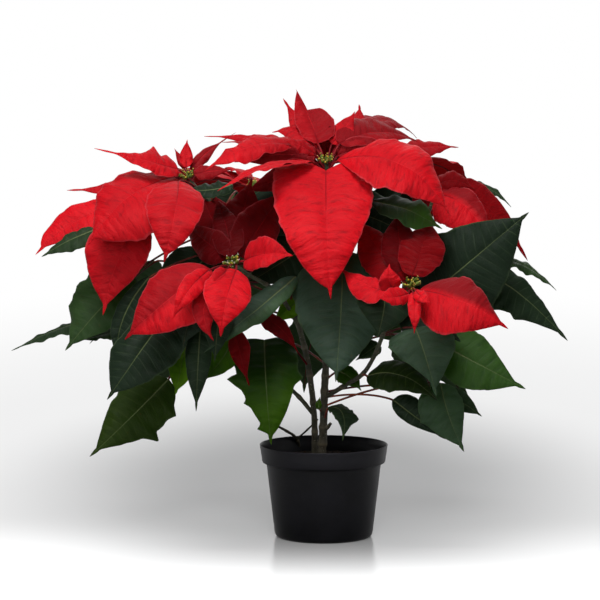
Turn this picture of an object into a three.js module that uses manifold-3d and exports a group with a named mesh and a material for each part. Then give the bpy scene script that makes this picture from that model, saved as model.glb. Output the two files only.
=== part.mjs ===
// A potted poinsettia: a thin-walled plastic nursery pot, its growing medium, a pinched main stem with
// branches, and the leaves, the bracts and the flower centres that the branches carry. Millimetres, +Z up,
// front of the plant towards -Y. The origin is the centre of the pot's base, on the surface that the pot
// stands on.
import * as THREE from "three";
import { mergeVertices } from "three/addons/utils/BufferGeometryUtils.js";
import Module from "manifold-3d";

const wasm = await Module();
wasm.setup();

// ---- Driving dimensions -------------------------------------------------------------------------------

const pot = {
  height: 94,
  rimRadius: 65,
  bandFootRadius: 62.2, // the rim band tapers a little, as the wall does
  bandHeight: 17.3,
  shoulderRadius: 58, // the wall just under the band
  shoulderDrop: 1.8, // the band's underside slopes in to the wall over this height
  baseRadius: 49.6,
  baseBevel: 4,
  wall: 1.6,
  floor: 2,
  footRecess: 1.2, // the ring outside the middle of the base stands clear of the table
  footPadRadius: 12, // the middle of the base comes down again to rest on the table
  footRingWidth: 6,
  sides: 36,
};
const soil = { top: 78, gap: 0.3, crown: 3, edge: 6 };

// Points of the plant are written as [x, height, depth]: where a point shows in the front elevation, drawn in
// the plane of the pot's axis for an eye at the place below, and how far it lies behind that plane, times
// depthSpread. A negative depth is nearer the eye.
const eye = new THREE.Vector3(-24, -2986.2, 527.9);
const depthSpread = 1.5;

const seatGap = 0.3; // between a piece and the stem that carries it
const bladeThickness = 0.8;
const stalkRadius = { bract: 0.9, leaf: 1.3 };
const stations = { stalk: 2, blade: 6, across: 4 };
const centre = { radius: 4.5, lift: 4.2, cupRadius: 3, cupRing: 4, cupLift: 3, cups: 3 };

// Each stem: the points that its axis passes through, its radius at the foot and at the top, and the stem
// that it branches from.
const stemRows = {
  main_stem: { points: [[-3, 74, 0], [-1, 98, 1], [1, 153, 0], [3, 186, -1]], radius: [4.4, 3.4] },
  side_stem: {
    points: [[-9, 74, 8], [-10, 127, 8], [-19, 190, 10], [-37, 242, 8], [-95, 320, 2], [-137, 362, -4]],
    radius: [3.2, 2.2],
  },
  top_branch: {
    on: "main_stem",
    points: [[2, 176, -1], [8, 230, -2], [8, 300, -4], [2, 378, -4]],
    radius: [2.8, 2.2],
  },
  low_branch: {
    on: "side_stem",
    points: [[-10, 124, 8], [-28, 145, 8], [-62, 172, 4], [-110, 187, -8], [-140, 189, -16]],
    radius: [2.2, 1.5],
  },
  lower_left_branch: {
    on: "side_stem",
    points: [[-27, 218, 9], [-46, 247, -8], [-76, 266, -42], [-92, 277, -72]],
    radius: [2.2, 1.8],
  },
  lower_right_branch: {
    on: "main_stem",
    points: [[2, 142, 0], [22, 154, -8], [40, 166, -20], [52, 186, -32], [66, 220, -48], [88, 254, -72]],
    radius: [2.4, 1.8],
  },
  right_branch: {
    on: "main_stem",
    points: [[2, 178, 0], [30, 215, 20], [80, 275, 30], [112, 346, 24]],
    radius: [2.5, 1.9],
  },
  back_branch: {
    on: "main_stem",
    points: [[2, 168, 0], [8, 205, 40], [36, 290, 76], [64, 376, 86]],
    radius: [2.5, 1.9],
  },
  back_left_branch: {
    on: "side_stem",
    points: [[-18, 185, 10], [-26, 215, 46], [-52, 290, 80], [-70, 352, 88]],
    radius: [2.4, 1.9],
  },
};

// Each bract and leaf: its stem and the share of the way up it, then the blade's base, middle and tip as
// points, the way that the upper face looks, and the widest half width on the left and the right of someone
// who stands on the upper face and looks to the tip. The style changes how the blade is cut and folded.
const bractRows = {
  top_bract_front: [
    "top_branch", 0.93, [2, 371, -16], [3, 313, -58], [7, 241, -66], [0, -1, 0.4], [49, 53],
    { widest: 0.25, taper: 1.12, back: 0.3 },
  ],
  top_bract_right: [
    "top_branch", 0.945, [16, 379, -8], [78, 377, -36], [126, 327, -36], [0.15, -0.7, 0.7], [34, 34],
  ],
  top_bract_left: [
    "top_branch", 0.955, [-14, 392, -8], [-66, 397, -22], [-119, 371, -34], [0, -0.6, 0.8], [23, 18],
  ],
  top_bract_low_left: [
    "top_branch", 0.94, [-12, 378, -16], [-60, 373, -50], [-107, 350, -62], [0, -0.15, 1], [18, 18],
  ],
  top_bract_far_right: [
    "top_branch", 0.965, [16, 398, 2], [55, 409, 20], [94, 400, 42], [0, -0.7, 0.7], [26, 15],
  ],
  top_bract_upper: [
    "top_branch", 0.98, [-6, 398, 4], [-13, 420, 18], [-28, 450, 26], [0.1, -1, 0.2], [15, 25],
    { widest: 0.5, taper: 0.95 },
  ],
  top_bract_behind: ["top_branch", 0.97, [4, 390, 12], [10, 400, 52], [16, 386, 98], [0, 0.3, 1], [22, 30]],
  left_bract_upper: [
    "side_stem", 0.985, [-146, 372, -12], [-184, 383, -24], [-227, 392, -28], [0, -0.6, 0.8], [12, 15],
    { widest: 0.28, taper: 1.4 },
  ],
  left_bract_outer: [
    "side_stem", 0.975, [-150, 364, -8], [-197, 343, -38], [-237, 296, -44], [-0.35, -0.8, 0.5], [42, 36],
    { widest: 0.42, taper: 0.95 },
  ],
  left_bract_front: [
    "side_stem", 0.965, [-146, 360, -26], [-150, 326, -64], [-161, 278, -68], [0, -1, 0.3], [27, 28],
    { taper: 1 },
  ],
  left_bract_lower: [
    "side_stem", 0.93, [-182, 322, -14], [-207, 277, -30], [-223, 223, -30], [-0.2, -1, 0.2], [29, 31],
    { widest: 0.33, taper: 1 },
  ],
  left_bract_far: [
    "side_stem", 0.945, [-172, 342, 4], [-238, 325, 4], [-290, 286, -4], [-0.1, -0.8, 0.6], [20, 20],
    { widest: 0.5 },
  ],
  left_bract_behind: [
    "side_stem", 0.955, [-138, 368, 6], [-150, 370, 50], [-172, 346, 92], [0, 0.2, 1], [28, 28],
  ],
  low_left_bract_outer: [
    "lower_left_branch", 0.88, [-114, 271, -78], [-160, 238, -96], [-201, 200, -90], [-0.2, -0.9, 0.4],
    [31, 31],
  ],
  low_left_bract_front: [
    "lower_left_branch", 0.92, [-88, 271, -88], [-98, 240, -116], [-104, 203, -118], [0.1, -1, 0.3], [22, 24],
    { taper: 1 },
  ],
  low_left_bract_right: [
    "lower_left_branch", 0.96, [-80, 280, -75], [-58, 287, -92], [-31, 285, -98], [0.1, -0.9, 0.4], [18, 17],
    { fold: 0.5 },
  ],
  low_left_bract_upper: [
    "lower_left_branch", 0.985, [-94, 285, -68], [-98, 314, -38], [-110, 347, -12], [0, -1, 0.1], [14, 14],
  ],
  low_right_bract_upper: [
    "lower_right_branch", 0.98, [89, 265, -68], [98, 291, -42], [107, 322, -18], [-0.1, -1, 0.1], [22, 23],
    { widest: 0.5, taper: 0.7 },
  ],
  low_right_bract_left: [
    "lower_right_branch", 0.96, [80, 260, -62], [56, 291, -28], [33, 323, -6], [0.2, -1, 0.1], [24, 21],
  ],
  low_right_bract_strip: [
    "lower_right_branch", 0.93, [64, 250, -76], [42, 256, -66], [17, 272, -48], [0, -0.8, 0.5], [11, 11],
  ],
  low_right_bract_outer: [
    "lower_right_branch", 0.945, [96, 250, -80], [142, 238, -104], [186, 211, -100], [0.1, -0.85, 0.5],
    [27, 36], { fold: 0 },
  ],
  right_bract_front: [
    "right_branch", 0.97, [114, 346, 14], [143, 334, -2], [170, 294, -6], [0.1, -0.9, 0.4], [26, 24],
  ],
  right_bract_outer: [
    "right_branch", 0.95, [118, 350, 22], [162, 336, 22], [205, 280, 16], [0.2, -0.8, 0.5], [22, 22],
    { taper: 1.2 },
  ],
};

const leafRows = {
  leaf_front: [
    "top_branch", 0.45, [19, 290, -16], [17, 225, -40], [12, 157, -52], [0, -0.95, 0.3], [38, 44],
  ],
  leaf_under_top: [
    "top_branch", 0.8, [48, 340, -12], [83, 331, -24], [119, 312, -26], [0, -0.6, 0.8], [26, 17],
  ],
  leaf_right_high: [
    "right_branch", 0.62, [103, 242, -8], [149, 281, -20], [206, 329, -18], [0, -1, 0.2], [39, 44],
    { widest: 0.42, taper: 0.95 },
  ],
  leaf_right_outer: [
    "right_branch", 0.5, [168, 262, 8], [204, 240, 0], [246, 199, 0], [0.1, -0.8, 0.5], [22, 27],
  ],
  leaf_low_right_top: [
    "lower_right_branch", 0.75, [62, 250, -56], [60, 228, -62], [54, 202, -66], [0, -1, 0.3], [28, 28],
    { widest: 0.3, taper: 0.9 },
  ],
  leaf_low_right_front: [
    "lower_right_branch", 0.6, [92, 212, -60], [102, 185, -74], [114, 142, -78], [0, -1, 0.3], [31, 30],
  ],
  leaf_low_right_outer: [
    "right_branch", 0.3, [120, 195, -34], [160, 173, -46], [204, 150, -48], [0, -0.9, 0.4], [30, 28],
  ],
  leaf_low_right_dark: [
    "lower_right_branch", 0.28, [44, 163, -28], [79, 163, -42], [115, 138, -52], [0, -0.7, 0.7], [22, 22],
  ],
  leaf_low_right_hanging: [
    "main_stem", 0.52, [118, 156, -22], [126, 124, -30], [142, 86, -30], [0, -1, 0.3], [18, 26],
  ],
  leaf_left_high: [
    "side_stem", 0.8, [-192, 266, 8], [-227, 229, -6], [-261, 189, -8], [-0.2, -0.9, 0.4], [24, 37],
  ],
  leaf_left_far: [
    "side_stem", 0.66, [-232, 221, 26], [-273, 208, 22], [-315, 189, 16], [0, -0.2, 1], [16, 16],
  ],
  leaf_left_front: [
    "lower_left_branch", 0.5, [-150, 238, -50], [-185, 188, -72], [-219, 139, -76], [-0.2, -0.9, 0.3],
    [34, 28],
  ],
  leaf_left_low: [
    "low_branch", 0.93, [-157, 160, -26], [-195, 121, -44], [-237, 81, -48], [-0.1, -1, 0.3], [29, 28],
  ],
  leaf_left_hanging: [
    "lower_left_branch", 0.62, [-124, 218, -54], [-127, 175, -60], [-129, 127, -60], [0.1, -1, 0.2], [13, 13],
  ],
  leaf_folded: [
    "side_stem", 0.5, [-28, 264, -22], [-72, 229, -54], [-124, 189, -74], [-0.2, -0.5, 0.8], [14, 15],
  ],
  leaf_low_left: [
    "low_branch", 0.3, [-60, 200, -8], [-58, 150, -40], [-53, 93, -44], [0, -1, 0.3], [32, 32],
  ],
  leaf_by_stem: [
    "main_stem", 0.37, [5, 132, -6], [19, 124, -18], [19, 97, -26], [0.3, -0.8, 0.5], [11, 11],
  ],
  leaf_back_right: [
    "back_branch", 0.45, [110, 280, 80], [150, 262, 110], [200, 225, 120], [0.2, 0.6, 0.8], [30, 30],
  ],
  leaf_back_left: [
    "back_left_branch", 0.4, [-170, 280, 70], [-206, 250, 100], [-238, 212, 104], [-0.2, 0.6, 0.8], [26, 26],
  ],
};

// The two flower heads at the back are each one piece, bracts and centre together.
const backHeads = {
  back_right_flower_head: {
    on: "back_branch",
    bracts: [
      [[76, 388, 80], [104, 392, 88], [135, 394, 96], [0.1, -0.6, 0.7], [13, 13]],
      [[60, 384, 94], [66, 388, 138], [84, 356, 170], [0, 0.6, 0.8], [28, 28]],
      [[54, 382, 92], [22, 390, 118], [-16, 366, 142], [0, 0.5, 0.9], [24, 24]],
      [[76, 376, 90], [116, 376, 124], [148, 340, 142], [0.2, 0.5, 0.9], [27, 27]],
    ],
  },
  back_left_flower_head: {
    on: "back_left_branch",
    bracts: [
      [[-74, 360, 96], [-90, 362, 138], [-110, 328, 164], [0, 0.6, 0.8], [27, 27]],
      [[-82, 358, 90], [-126, 360, 112], [-168, 326, 124], [-0.2, 0.5, 0.9], [26, 26]],
      [[-62, 358, 96], [-36, 362, 134], [-6, 332, 158], [0.1, 0.6, 0.8], [25, 25]],
    ],
  },
};

// ---- Helpers ------------------------------------------------------------------------------------------

// The real place of a point of the front elevation.
function placed([x, height, depth]) {
  return new THREE.Vector3(x, 0, height).sub(eye).multiplyScalar(1 - (depth * depthSpread) / eye.y).add(eye);
}

// A closed geometry as a manifold-3d solid, and back again.
function solidOf(geometry) {
  const bare = geometry.clone();
  bare.deleteAttribute("normal");
  bare.deleteAttribute("uv");
  const merged = mergeVertices(bare, 1e-4);
  const vertProperties = merged.attributes.position.array;
  const triVerts = new Uint32Array(merged.index.array);
  return new wasm.Manifold(new wasm.Mesh({ numProp: 3, vertProperties, triVerts }));
}

function geometryOf(solid) {
  const mesh = solid.getMesh();
  const geometry = new THREE.BufferGeometry();
  geometry.setAttribute("position", new THREE.BufferAttribute(mesh.vertProperties, 3));
  geometry.setIndex(new THREE.BufferAttribute(mesh.triVerts, 1));
  return geometry;
}

// Moves every vertex of a geometry to where place(vertex) says.
function reshaped(geometry, place) {
  const position = geometry.attributes.position;
  const vertex = new THREE.Vector3();
  for (let i = 0; i < position.count; i += 1) {
    const { x, y, z } = place(vertex.fromBufferAttribute(position, i).clone());
    position.setXYZ(i, x, y, z);
  }
  return geometry;
}

function lathe(profile, sides) {
  const points = profile.map(([r, z]) => new THREE.Vector2(r, z));
  return new THREE.LatheGeometry(points, sides).rotateX(Math.PI / 2);
}

// ---- Pot and growing medium ---------------------------------------------------------------------------

function potGeometry() {
  const p = pot;
  const bandFoot = p.height - p.bandHeight;
  const wallTop = bandFoot - p.shoulderDrop;
  const ringInner = p.baseRadius - p.baseBevel - p.footRingWidth;
  const outside = [
    [0, 0],
    [p.footPadRadius, 0],
    [p.footPadRadius + p.footRecess, p.footRecess],
    [ringInner, p.footRecess],
    [ringInner + p.footRecess, 0],
    [p.baseRadius - p.baseBevel, 0],
    [p.baseRadius - p.baseBevel * 0.3, p.baseBevel * 0.3],
    [p.baseRadius, p.baseBevel],
    [p.shoulderRadius, wallTop],
    [p.bandFootRadius, bandFoot],
    [p.rimRadius, p.height],
  ];
  const inside = [
    [p.rimRadius - p.wall, p.height],
    [p.bandFootRadius - p.wall, bandFoot + p.wall * 0.4],
    [p.shoulderRadius - p.wall, wallTop],
    [p.baseRadius - p.wall, p.baseBevel + p.floor * 0.6],
    [p.baseRadius - p.baseBevel, p.footRecess + p.floor],
    [0, p.footRecess + p.floor],
  ];
  return lathe([...outside, ...inside], p.sides);
}

function soilGeometry() {
  const p = pot;
  const bandFoot = p.height - p.bandHeight;
  const wallTop = bandFoot - p.shoulderDrop;
  const side = p.wall + soil.gap * 1.2;
  const profile = [
    [0, p.footRecess + p.floor + soil.gap],
    [p.baseRadius - p.baseBevel - soil.gap, p.footRecess + p.floor + soil.gap],
    [p.baseRadius - side, p.baseBevel + p.floor * 0.6 + soil.gap],
    [p.shoulderRadius - side, wallTop + soil.gap * 0.5],
    [p.bandFootRadius - side - soil.gap, bandFoot + p.wall * 0.4 + soil.gap * 0.5],
    [p.bandFootRadius - side - soil.gap, soil.top - 0.4],
    [p.bandFootRadius - side - soil.edge, soil.top + 0.6],
    [0, soil.top + soil.crown],
  ];
  return lathe(profile, p.sides);
}

// ---- Stems --------------------------------------------------------------------------------------------

const stems = {};
for (const [name, row] of Object.entries(stemRows)) {
  stems[name] = { ...row, curve: new THREE.CatmullRomCurve3(row.points.map(placed)) };
}

// A tapering tube along a stem's axis, grown outwards by extra.
function stemGeometry({ curve, radius }, extra = 0) {
  const steps = Math.max(4, Math.round(curve.getLength() / 22));
  const tube = new THREE.CylinderGeometry(1, 1, 1, 8, steps);
  const frames = curve.computeFrenetFrames(steps);
  return reshaped(tube, (v) => {
    const share = 0.5 + v.y;
    const i = Math.round(share * steps);
    const r = THREE.MathUtils.lerp(radius[0], radius[1], share) + extra;
    const end = share === 0 ? -extra : share === 1 ? extra : 0;
    return curve
      .getPointAt(share)
      .addScaledVector(frames.tangents[i], end)
      .addScaledVector(frames.normals[i], v.z * r)
      .addScaledVector(frames.binormals[i], v.x * r);
  });
}

// ---- Leaves, bracts and flower centres ----------------------------------------------------------------

// Share of the half width at t along a blade, which is drawn out to a point at the tip.
function outline(t, widest, taper) {
  const rise = (taper * widest) / (1 - widest);
  return Math.pow(t / widest, rise) * Math.pow((1 - t) / (1 - widest), taper);
}

// One leaf with its stalk, from the foot on the stem's axis to the tip, as a closed sheet that is grown
// outwards by extra. It is a box whose length runs along the stalk and the midrib.
function leafSolid(foot, [base, middle, tip, face, halves, style = {}], stalkSize, extra = 0) {
  const { fold = 0.25, curl = 0.35, back = 0.1, widest = 0.37, taper = 1.15 } = style;
  const [b, m, e] = [base, middle, tip].map(placed);
  const pull = m.clone().multiplyScalar(2).sub(b.clone().add(e).multiplyScalar(0.5));
  const midrib = new THREE.QuadraticBezierCurve3(b, pull, e);
  const arch = foot.clone().lerp(b, 0.6);
  arch.z += 0.12 * foot.distanceTo(b);
  const stalk = new THREE.QuadraticBezierCurve3(foot, arch, b);

  const middleTangent = midrib.getTangent(0.5);
  const middleNormal = new THREE.Vector3(...face).projectOnPlane(middleTangent).normalize();
  const bladeFrame = (t) => {
    const tangent = midrib.getTangent(t);
    const turn = new THREE.Quaternion().setFromUnitVectors(middleTangent, tangent);
    const normal = middleNormal.clone().applyQuaternion(turn);
    return { tangent, normal, side: tangent.clone().cross(normal) };
  };
  const stalkFrame = (t) => {
    const tangent = stalk.getTangent(t);
    const side = bladeFrame(0).side.projectOnPlane(tangent).normalize();
    return { tangent, side, normal: side.clone().cross(tangent) };
  };

  const { stalk: stalkSteps, blade: bladeSteps, across } = stations;
  const steps = stalkSteps + bladeSteps;
  const sheet = new THREE.BoxGeometry(1, 1, 1, across, steps, 1);
  return solidOf(
    reshaped(sheet, (v) => {
      const row = Math.round((0.5 + v.y) * steps);
      const s = v.x * 2;
      const upper = Math.sign(v.z);
      if (row < stalkSteps) {
        const t = row / stalkSteps;
        const { normal, side } = stalkFrame(t);
        const size = stalkSize + extra;
        const height = upper * size * Math.max(0.35, Math.sqrt(1 - s * s));
        return stalk.getPoint(t).addScaledVector(side, s * size).addScaledVector(normal, height);
      }
      const t = THREE.MathUtils.clamp((row - stalkSteps) / bladeSteps, 0.02, 0.99);
      const { tangent, normal, side } = bladeFrame(t);
      const half = halves[s < 0 ? 0 : 1];
      const width = Math.max(outline(t, widest, taper) * half, 0.6);
      const rise = (fold - curl * Math.abs(s)) * Math.abs(s) * width;
      return midrib
        .getPoint(t)
        .addScaledVector(side, s * (width + extra))
        .addScaledVector(normal, rise + upper * (bladeThickness / 2 + extra))
        .addScaledVector(tangent, -back * width * Math.abs(s) * (1 - t));
    }),
  );
}

// The small green cups in the middle of a flower head, as one knobbly body on the end of its stem.
function centreSolid({ curve }) {
  const top = curve.getPointAt(1).addScaledVector(curve.getTangentAt(1), centre.lift);
  const ball = (r, x, y, z) => {
    return solidOf(new THREE.SphereGeometry(r, 6, 4).translate(top.x + x, top.y + y, top.z + z));
  };
  let solid = ball(centre.radius, 0, 0, 0);
  for (let i = 0; i < centre.cups; i += 1) {
    const angle = (i / centre.cups) * 2 * Math.PI;
    const [x, y] = [Math.cos(angle) * centre.cupRing, Math.sin(angle) * centre.cupRing];
    solid = solid.add(ball(centre.cupRadius, x, y, centre.cupLift));
  }
  return solid;
}

// ---- The plant ----------------------------------------------------------------------------------------

const plant = new THREE.Group();
function add(name, geometry, material) {
  const mesh = new THREE.Mesh(geometry, material);
  mesh.name = name;
  plant.add(mesh);
}

const plastic = new THREE.MeshStandardMaterial({ color: 0x1b1b1d, roughness: 0.45 });
const peat = new THREE.MeshStandardMaterial({ color: 0x2a1d14, roughness: 0.95 });
const bark = new THREE.MeshStandardMaterial({ color: 0x4a4a30, roughness: 0.8 });
const red = new THREE.MeshStandardMaterial({ color: 0xb8121c, roughness: 0.55 });
const green = new THREE.MeshStandardMaterial({ color: 0x1f3d22, roughness: 0.5 });
const cupGreen = new THREE.MeshStandardMaterial({ color: 0x8a9a34, roughness: 0.5 });

add("pot", potGeometry(), plastic);

const grownStems = {};
let ground = solidOf(soilGeometry());
for (const [name, stem] of Object.entries(stems)) {
  grownStems[name] = solidOf(stemGeometry(stem, seatGap));
  let solid = solidOf(stemGeometry(stem));
  if (stem.on) solid = solid.subtract(grownStems[stem.on]);
  else ground = ground.subtract(grownStems[name]);
  add(name, geometryOf(solid), bark);
}
add("growing_medium", geometryOf(ground), peat);

// What the flower centres leave room for: the bract stalks of each stem.
const stalksOn = {};
const kinds = [[bractRows, stalkRadius.bract, red], [leafRows, stalkRadius.leaf, green]];
for (const [rows, stalkSize, material] of kinds) {
  for (const [name, [on, share, ...row]] of Object.entries(rows)) {
    const foot = stems[on].curve.getPointAt(share);
    add(name, geometryOf(leafSolid(foot, row, stalkSize).subtract(grownStems[on])), material);
    (stalksOn[on] ??= []).push(leafSolid(foot, row, stalkSize, seatGap));
  }
}

const centreNames = {
  top_flower_centre: "top_branch",
  left_flower_centre: "side_stem",
  low_left_flower_centre: "lower_left_branch",
  low_right_flower_centre: "lower_right_branch",
  right_flower_centre: "right_branch",
};
for (const [name, on] of Object.entries(centreNames)) {
  let solid = centreSolid(stems[on]).subtract(grownStems[on]);
  for (const stalk of stalksOn[on]) solid = solid.subtract(stalk);
  add(name, geometryOf(solid), cupGreen);
}

for (const [name, { on, bracts }] of Object.entries(backHeads)) {
  const { curve } = stems[on];
  const foot = curve.getPointAt(1).addScaledVector(curve.getTangentAt(1), centre.lift);
  let solid = solidOf(new THREE.SphereGeometry(centre.radius, 6, 4).translate(foot.x, foot.y, foot.z));
  for (const row of bracts) solid = solid.add(leafSolid(foot, row, stalkRadius.bract));
  add(name, geometryOf(solid.subtract(grownStems[on])), red);
}

export default plant;
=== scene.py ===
import math
import random

import bmesh
import bpy
from mathutils import Matrix, Vector, noise


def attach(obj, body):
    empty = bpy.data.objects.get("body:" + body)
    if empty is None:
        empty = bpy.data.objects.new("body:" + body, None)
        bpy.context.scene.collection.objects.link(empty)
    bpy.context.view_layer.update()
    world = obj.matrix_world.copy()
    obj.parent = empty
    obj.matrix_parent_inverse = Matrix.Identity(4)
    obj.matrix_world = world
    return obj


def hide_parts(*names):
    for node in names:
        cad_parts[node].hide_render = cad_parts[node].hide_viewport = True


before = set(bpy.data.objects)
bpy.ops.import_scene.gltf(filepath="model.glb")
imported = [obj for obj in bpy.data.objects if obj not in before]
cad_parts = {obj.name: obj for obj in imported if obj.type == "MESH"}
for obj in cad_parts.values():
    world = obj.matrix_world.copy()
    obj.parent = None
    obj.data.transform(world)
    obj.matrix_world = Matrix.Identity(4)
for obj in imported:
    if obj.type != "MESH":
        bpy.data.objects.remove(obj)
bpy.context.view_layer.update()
scene = bpy.context.scene
mm = 0.001

# The eye, in mm, and its lens. Points of the plant are written as [x, height, depth] in mm: where a point is
# seen in the front elevation, drawn in the plane of the pot's axis for this eye, and how far behind that
# plane it lies, times the spread.
view = {
    "eye": (-24, -2986.2, 527.9), "tilt": 84.5, "lens": 178.74, "sensor": 36, "reach": 200,
    "depthSpread": 1.5,
}


def placed(point):
    x, height, depth = point
    eye = Vector(view["eye"])
    return eye + (Vector((x, 0, height)) - eye) * (1 - depth * view["depthSpread"] / eye.y)


def clamped(value, low=0, high=1):
    return min(max(value, low), high)


camera = bpy.data.objects.new("camera", bpy.data.cameras.new("camera"))
camera.data.lens = view["lens"]
camera.data.sensor_width = view["sensor"]
camera.data.clip_end = view["reach"]
camera.location = [c * mm for c in view["eye"]]
camera.rotation_euler = (math.radians(view["tilt"]), 0, 0)
scene.collection.objects.link(camera)
scene.camera = camera
scene.view_settings.view_transform = "Standard"


# Lights. The plant and the floor have lights of their own, as a studio table has. A light with a height is a
# sun that many degrees up. The others are soft boxes, which aim at the crown unless they have their own aim.

lightSets = {name: bpy.data.collections.new(name) for name in (
    "plantPieces", "openPieces", "bladePieces", "shadePieces", "floorPieces")}
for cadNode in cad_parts.values():
    lightSets["plantPieces"].objects.link(cadNode)

crown = (0, 0, 0.3)
lights = {
    "topLight": {"on": "openPieces", "at": (-0.35, -1.1, 2.4), "size": 0.9, "power": 58},
    "frontLight": {"on": "bladePieces", "at": (-0.7, -2.6, 1.0), "size": 1.4, "power": 38},
    "shadeLight": {"on": "shadePieces", "at": (-0.35, -1.1, 2.4), "size": 0.9, "power": 18},
    "leftLight": {"on": "plantPieces", "at": (-2.2, -0.9, 1.1), "size": 1.4, "power": 0.7},
    "rightLight": {"on": "plantPieces", "at": (2.2, -0.5, 0.9), "size": 1.4, "power": 3.6},
    "backLight": {"on": "plantPieces", "at": (0.3, 1.7, 1.5), "size": 1.3, "power": 12},
    "floorLowSun": {"on": "floorPieces", "height": 26.5, "angle": 22, "strength": 0.84},
    "floorHighSun": {"on": "floorPieces", "height": 84, "angle": 24, "strength": 0.17},
    "frontPool": {"on": "floorPieces", "at": (0, -0.95, 0.9), "aim": (0, -0.3, 0), "size": 0.9, "power": 2.3},
    "frontBand": {"on": "floorPieces", "at": (0, -0.54, 1.0), "aim": (0, -0.54, 0), "size": 4.0,
                  "depth": 0.15, "spread": 50, "power": 33},
    "leftBand": {"on": "floorPieces", "at": (-0.5, -0.13, 0.5), "aim": (-0.5, -0.13, 0), "size": 0.5,
                 "depth": 0.08, "spread": 50, "power": 0.75, "shadow": False},
    "rightBand": {"on": "floorPieces", "at": (0.5, -0.13, 0.5), "aim": (0.5, -0.13, 0), "size": 0.5,
                  "depth": 0.08, "spread": 50, "power": 0.6, "shadow": False},
}


def addLight(name, values):
    data = bpy.data.lights.new(name, "SUN" if "height" in values else "AREA")
    light = bpy.data.objects.new(name, data)
    if "height" in values:
        data.energy = values["strength"]
        data.angle = math.radians(values["angle"])
        light.rotation_euler = (math.radians(90 - values["height"]), 0, 0)
    else:
        data.shape = "RECTANGLE"
        data.size = values["size"]
        data.size_y = values.get("depth", values["size"])
        data.spread = math.radians(values.get("spread", 180))
        data.energy = values["power"]
        light.location = values["at"]
        aim = Vector(values.get("aim", crown)) - Vector(values["at"])
        light.rotation_euler = aim.to_track_quat("-Z", "Y").to_euler()
    data.use_shadow = values.get("shadow", True)
    light.light_linking.receiver_collection = lightSets[values["on"]]
    light.visible_glossy = values["on"] != "floorPieces"
    scene.collection.objects.link(light)


for lightName, lightValues in lights.items():
    addLight(lightName, lightValues)


# Node helpers. A value may be another node's output or a plain number or colour.

def wire(tree, socket, value):
    if isinstance(value, bpy.types.NodeSocket):
        tree.links.new(value, socket)
    elif value is not None:
        socket.default_value = value


def added(tree, kind, inputs=(), **settings):
    node = tree.nodes.new("ShaderNode" + kind)
    for setting, value in settings.items():
        setattr(node, setting, value)
    for socket, value in dict(inputs).items():
        wire(tree, node.inputs[socket], value)
    return node.outputs


def sums(tree, operation, *values):
    return added(tree, "Math", enumerate(values), operation=operation)[0]


def times(tree, first, second):
    return sums(tree, "MULTIPLY", first, second)


def ranged(tree, value, low, high, to0=0.0, to1=1.0, smooth=True):
    return added(tree, "MapRange", {"Value": value, 1: low, 2: high, 3: to0, 4: to1},
                 interpolation_type="SMOOTHSTEP" if smooth else "LINEAR")["Result"]


def mixed(tree, factor, first, second):
    return added(tree, "Mix", {"Factor": factor, 6: first, 7: second}, data_type="RGBA")[2]


def laid(tree, ground, mask, share, tint):  # a tint over the ground, as strong as the mask times its share
    return mixed(tree, times(tree, mask, share), ground, tint)


def blended(tree, factor, first, second):
    return added(tree, "MixShader", {0: factor, 1: first, 2: second})[0]


def speckle(tree, vector, scale, detail=3.0, rough=0.55):
    return added(tree, "TexNoise", {
        "Vector": vector, "Scale": scale, "Detail": detail, "Roughness": rough})["Fac"]


def flecks(tree, vector, scale, detail, low=0.3, high=0.7):  # a speckle with more contrast
    return ranged(tree, speckle(tree, vector, scale, detail), low, high)


def cells(tree, vector, scale):
    values = {"Vector": vector, "Scale": scale}
    return added(tree, "TexVoronoi", values, feature="DISTANCE_TO_EDGE")["Distance"]


def stretched(tree, vector, scale, shift=(0, 0, 0)):
    return added(tree, "Mapping", {"Vector": vector, "Location": shift, "Scale": scale})[0]


def heightOf(tree, vector):
    return added(tree, "SeparateXYZ", {0: vector})["Z"]


def attribute(tree, name):
    return added(tree, "Attribute", attribute_name=name)["Fac"]


def objectSpace(tree):
    return added(tree, "TexCoord")["Object"]


def bumped(tree, height, distance, strength=1.0, under=None):
    return added(tree, "Bump", {
        "Height": height, "Distance": distance, "Strength": strength, "Normal": under})["Normal"]


def newGroup(name, inputs, outputs):
    group = bpy.data.node_groups.new(name, "ShaderNodeTree")
    for way, labels in (("INPUT", inputs), ("OUTPUT", outputs)):
        for label in labels:
            group.interface.new_socket(label, in_out=way, socket_type="NodeSocketFloat")
    return group, group.nodes.new("NodeGroupInput").outputs, group.nodes.new("NodeGroupOutput").inputs


def newMaterial(name):
    material = bpy.data.materials.new(name)
    material.use_nodes = True
    tree = material.node_tree
    return material, tree, tree.nodes["Principled BSDF"], tree.nodes["Material Output"].inputs["Surface"]


def coat(tree, skin, ground, rough, normal=None, specular=None):
    wire(tree, skin.inputs["Base Color"], ground)
    wire(tree, skin.inputs["Roughness"], rough)
    wire(tree, skin.inputs["Normal"], normal)
    wire(tree, skin.inputs["Specular IOR Level"], specular)


# Air. Reflections see it lighter, most of all in a band low over the floor, and the backdrop is plain white.

airLook = {
    "strength": 0.05, "tint": (0.97, 0.985, 1, 1), "shine": 0.4, "lowShine": 0.9, "bandTop": (0.2, 0.4),
    "shineTint": (0.99, 0.995, 1, 1), "backdrop": (1, 1, 1, 1),
}


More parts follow.
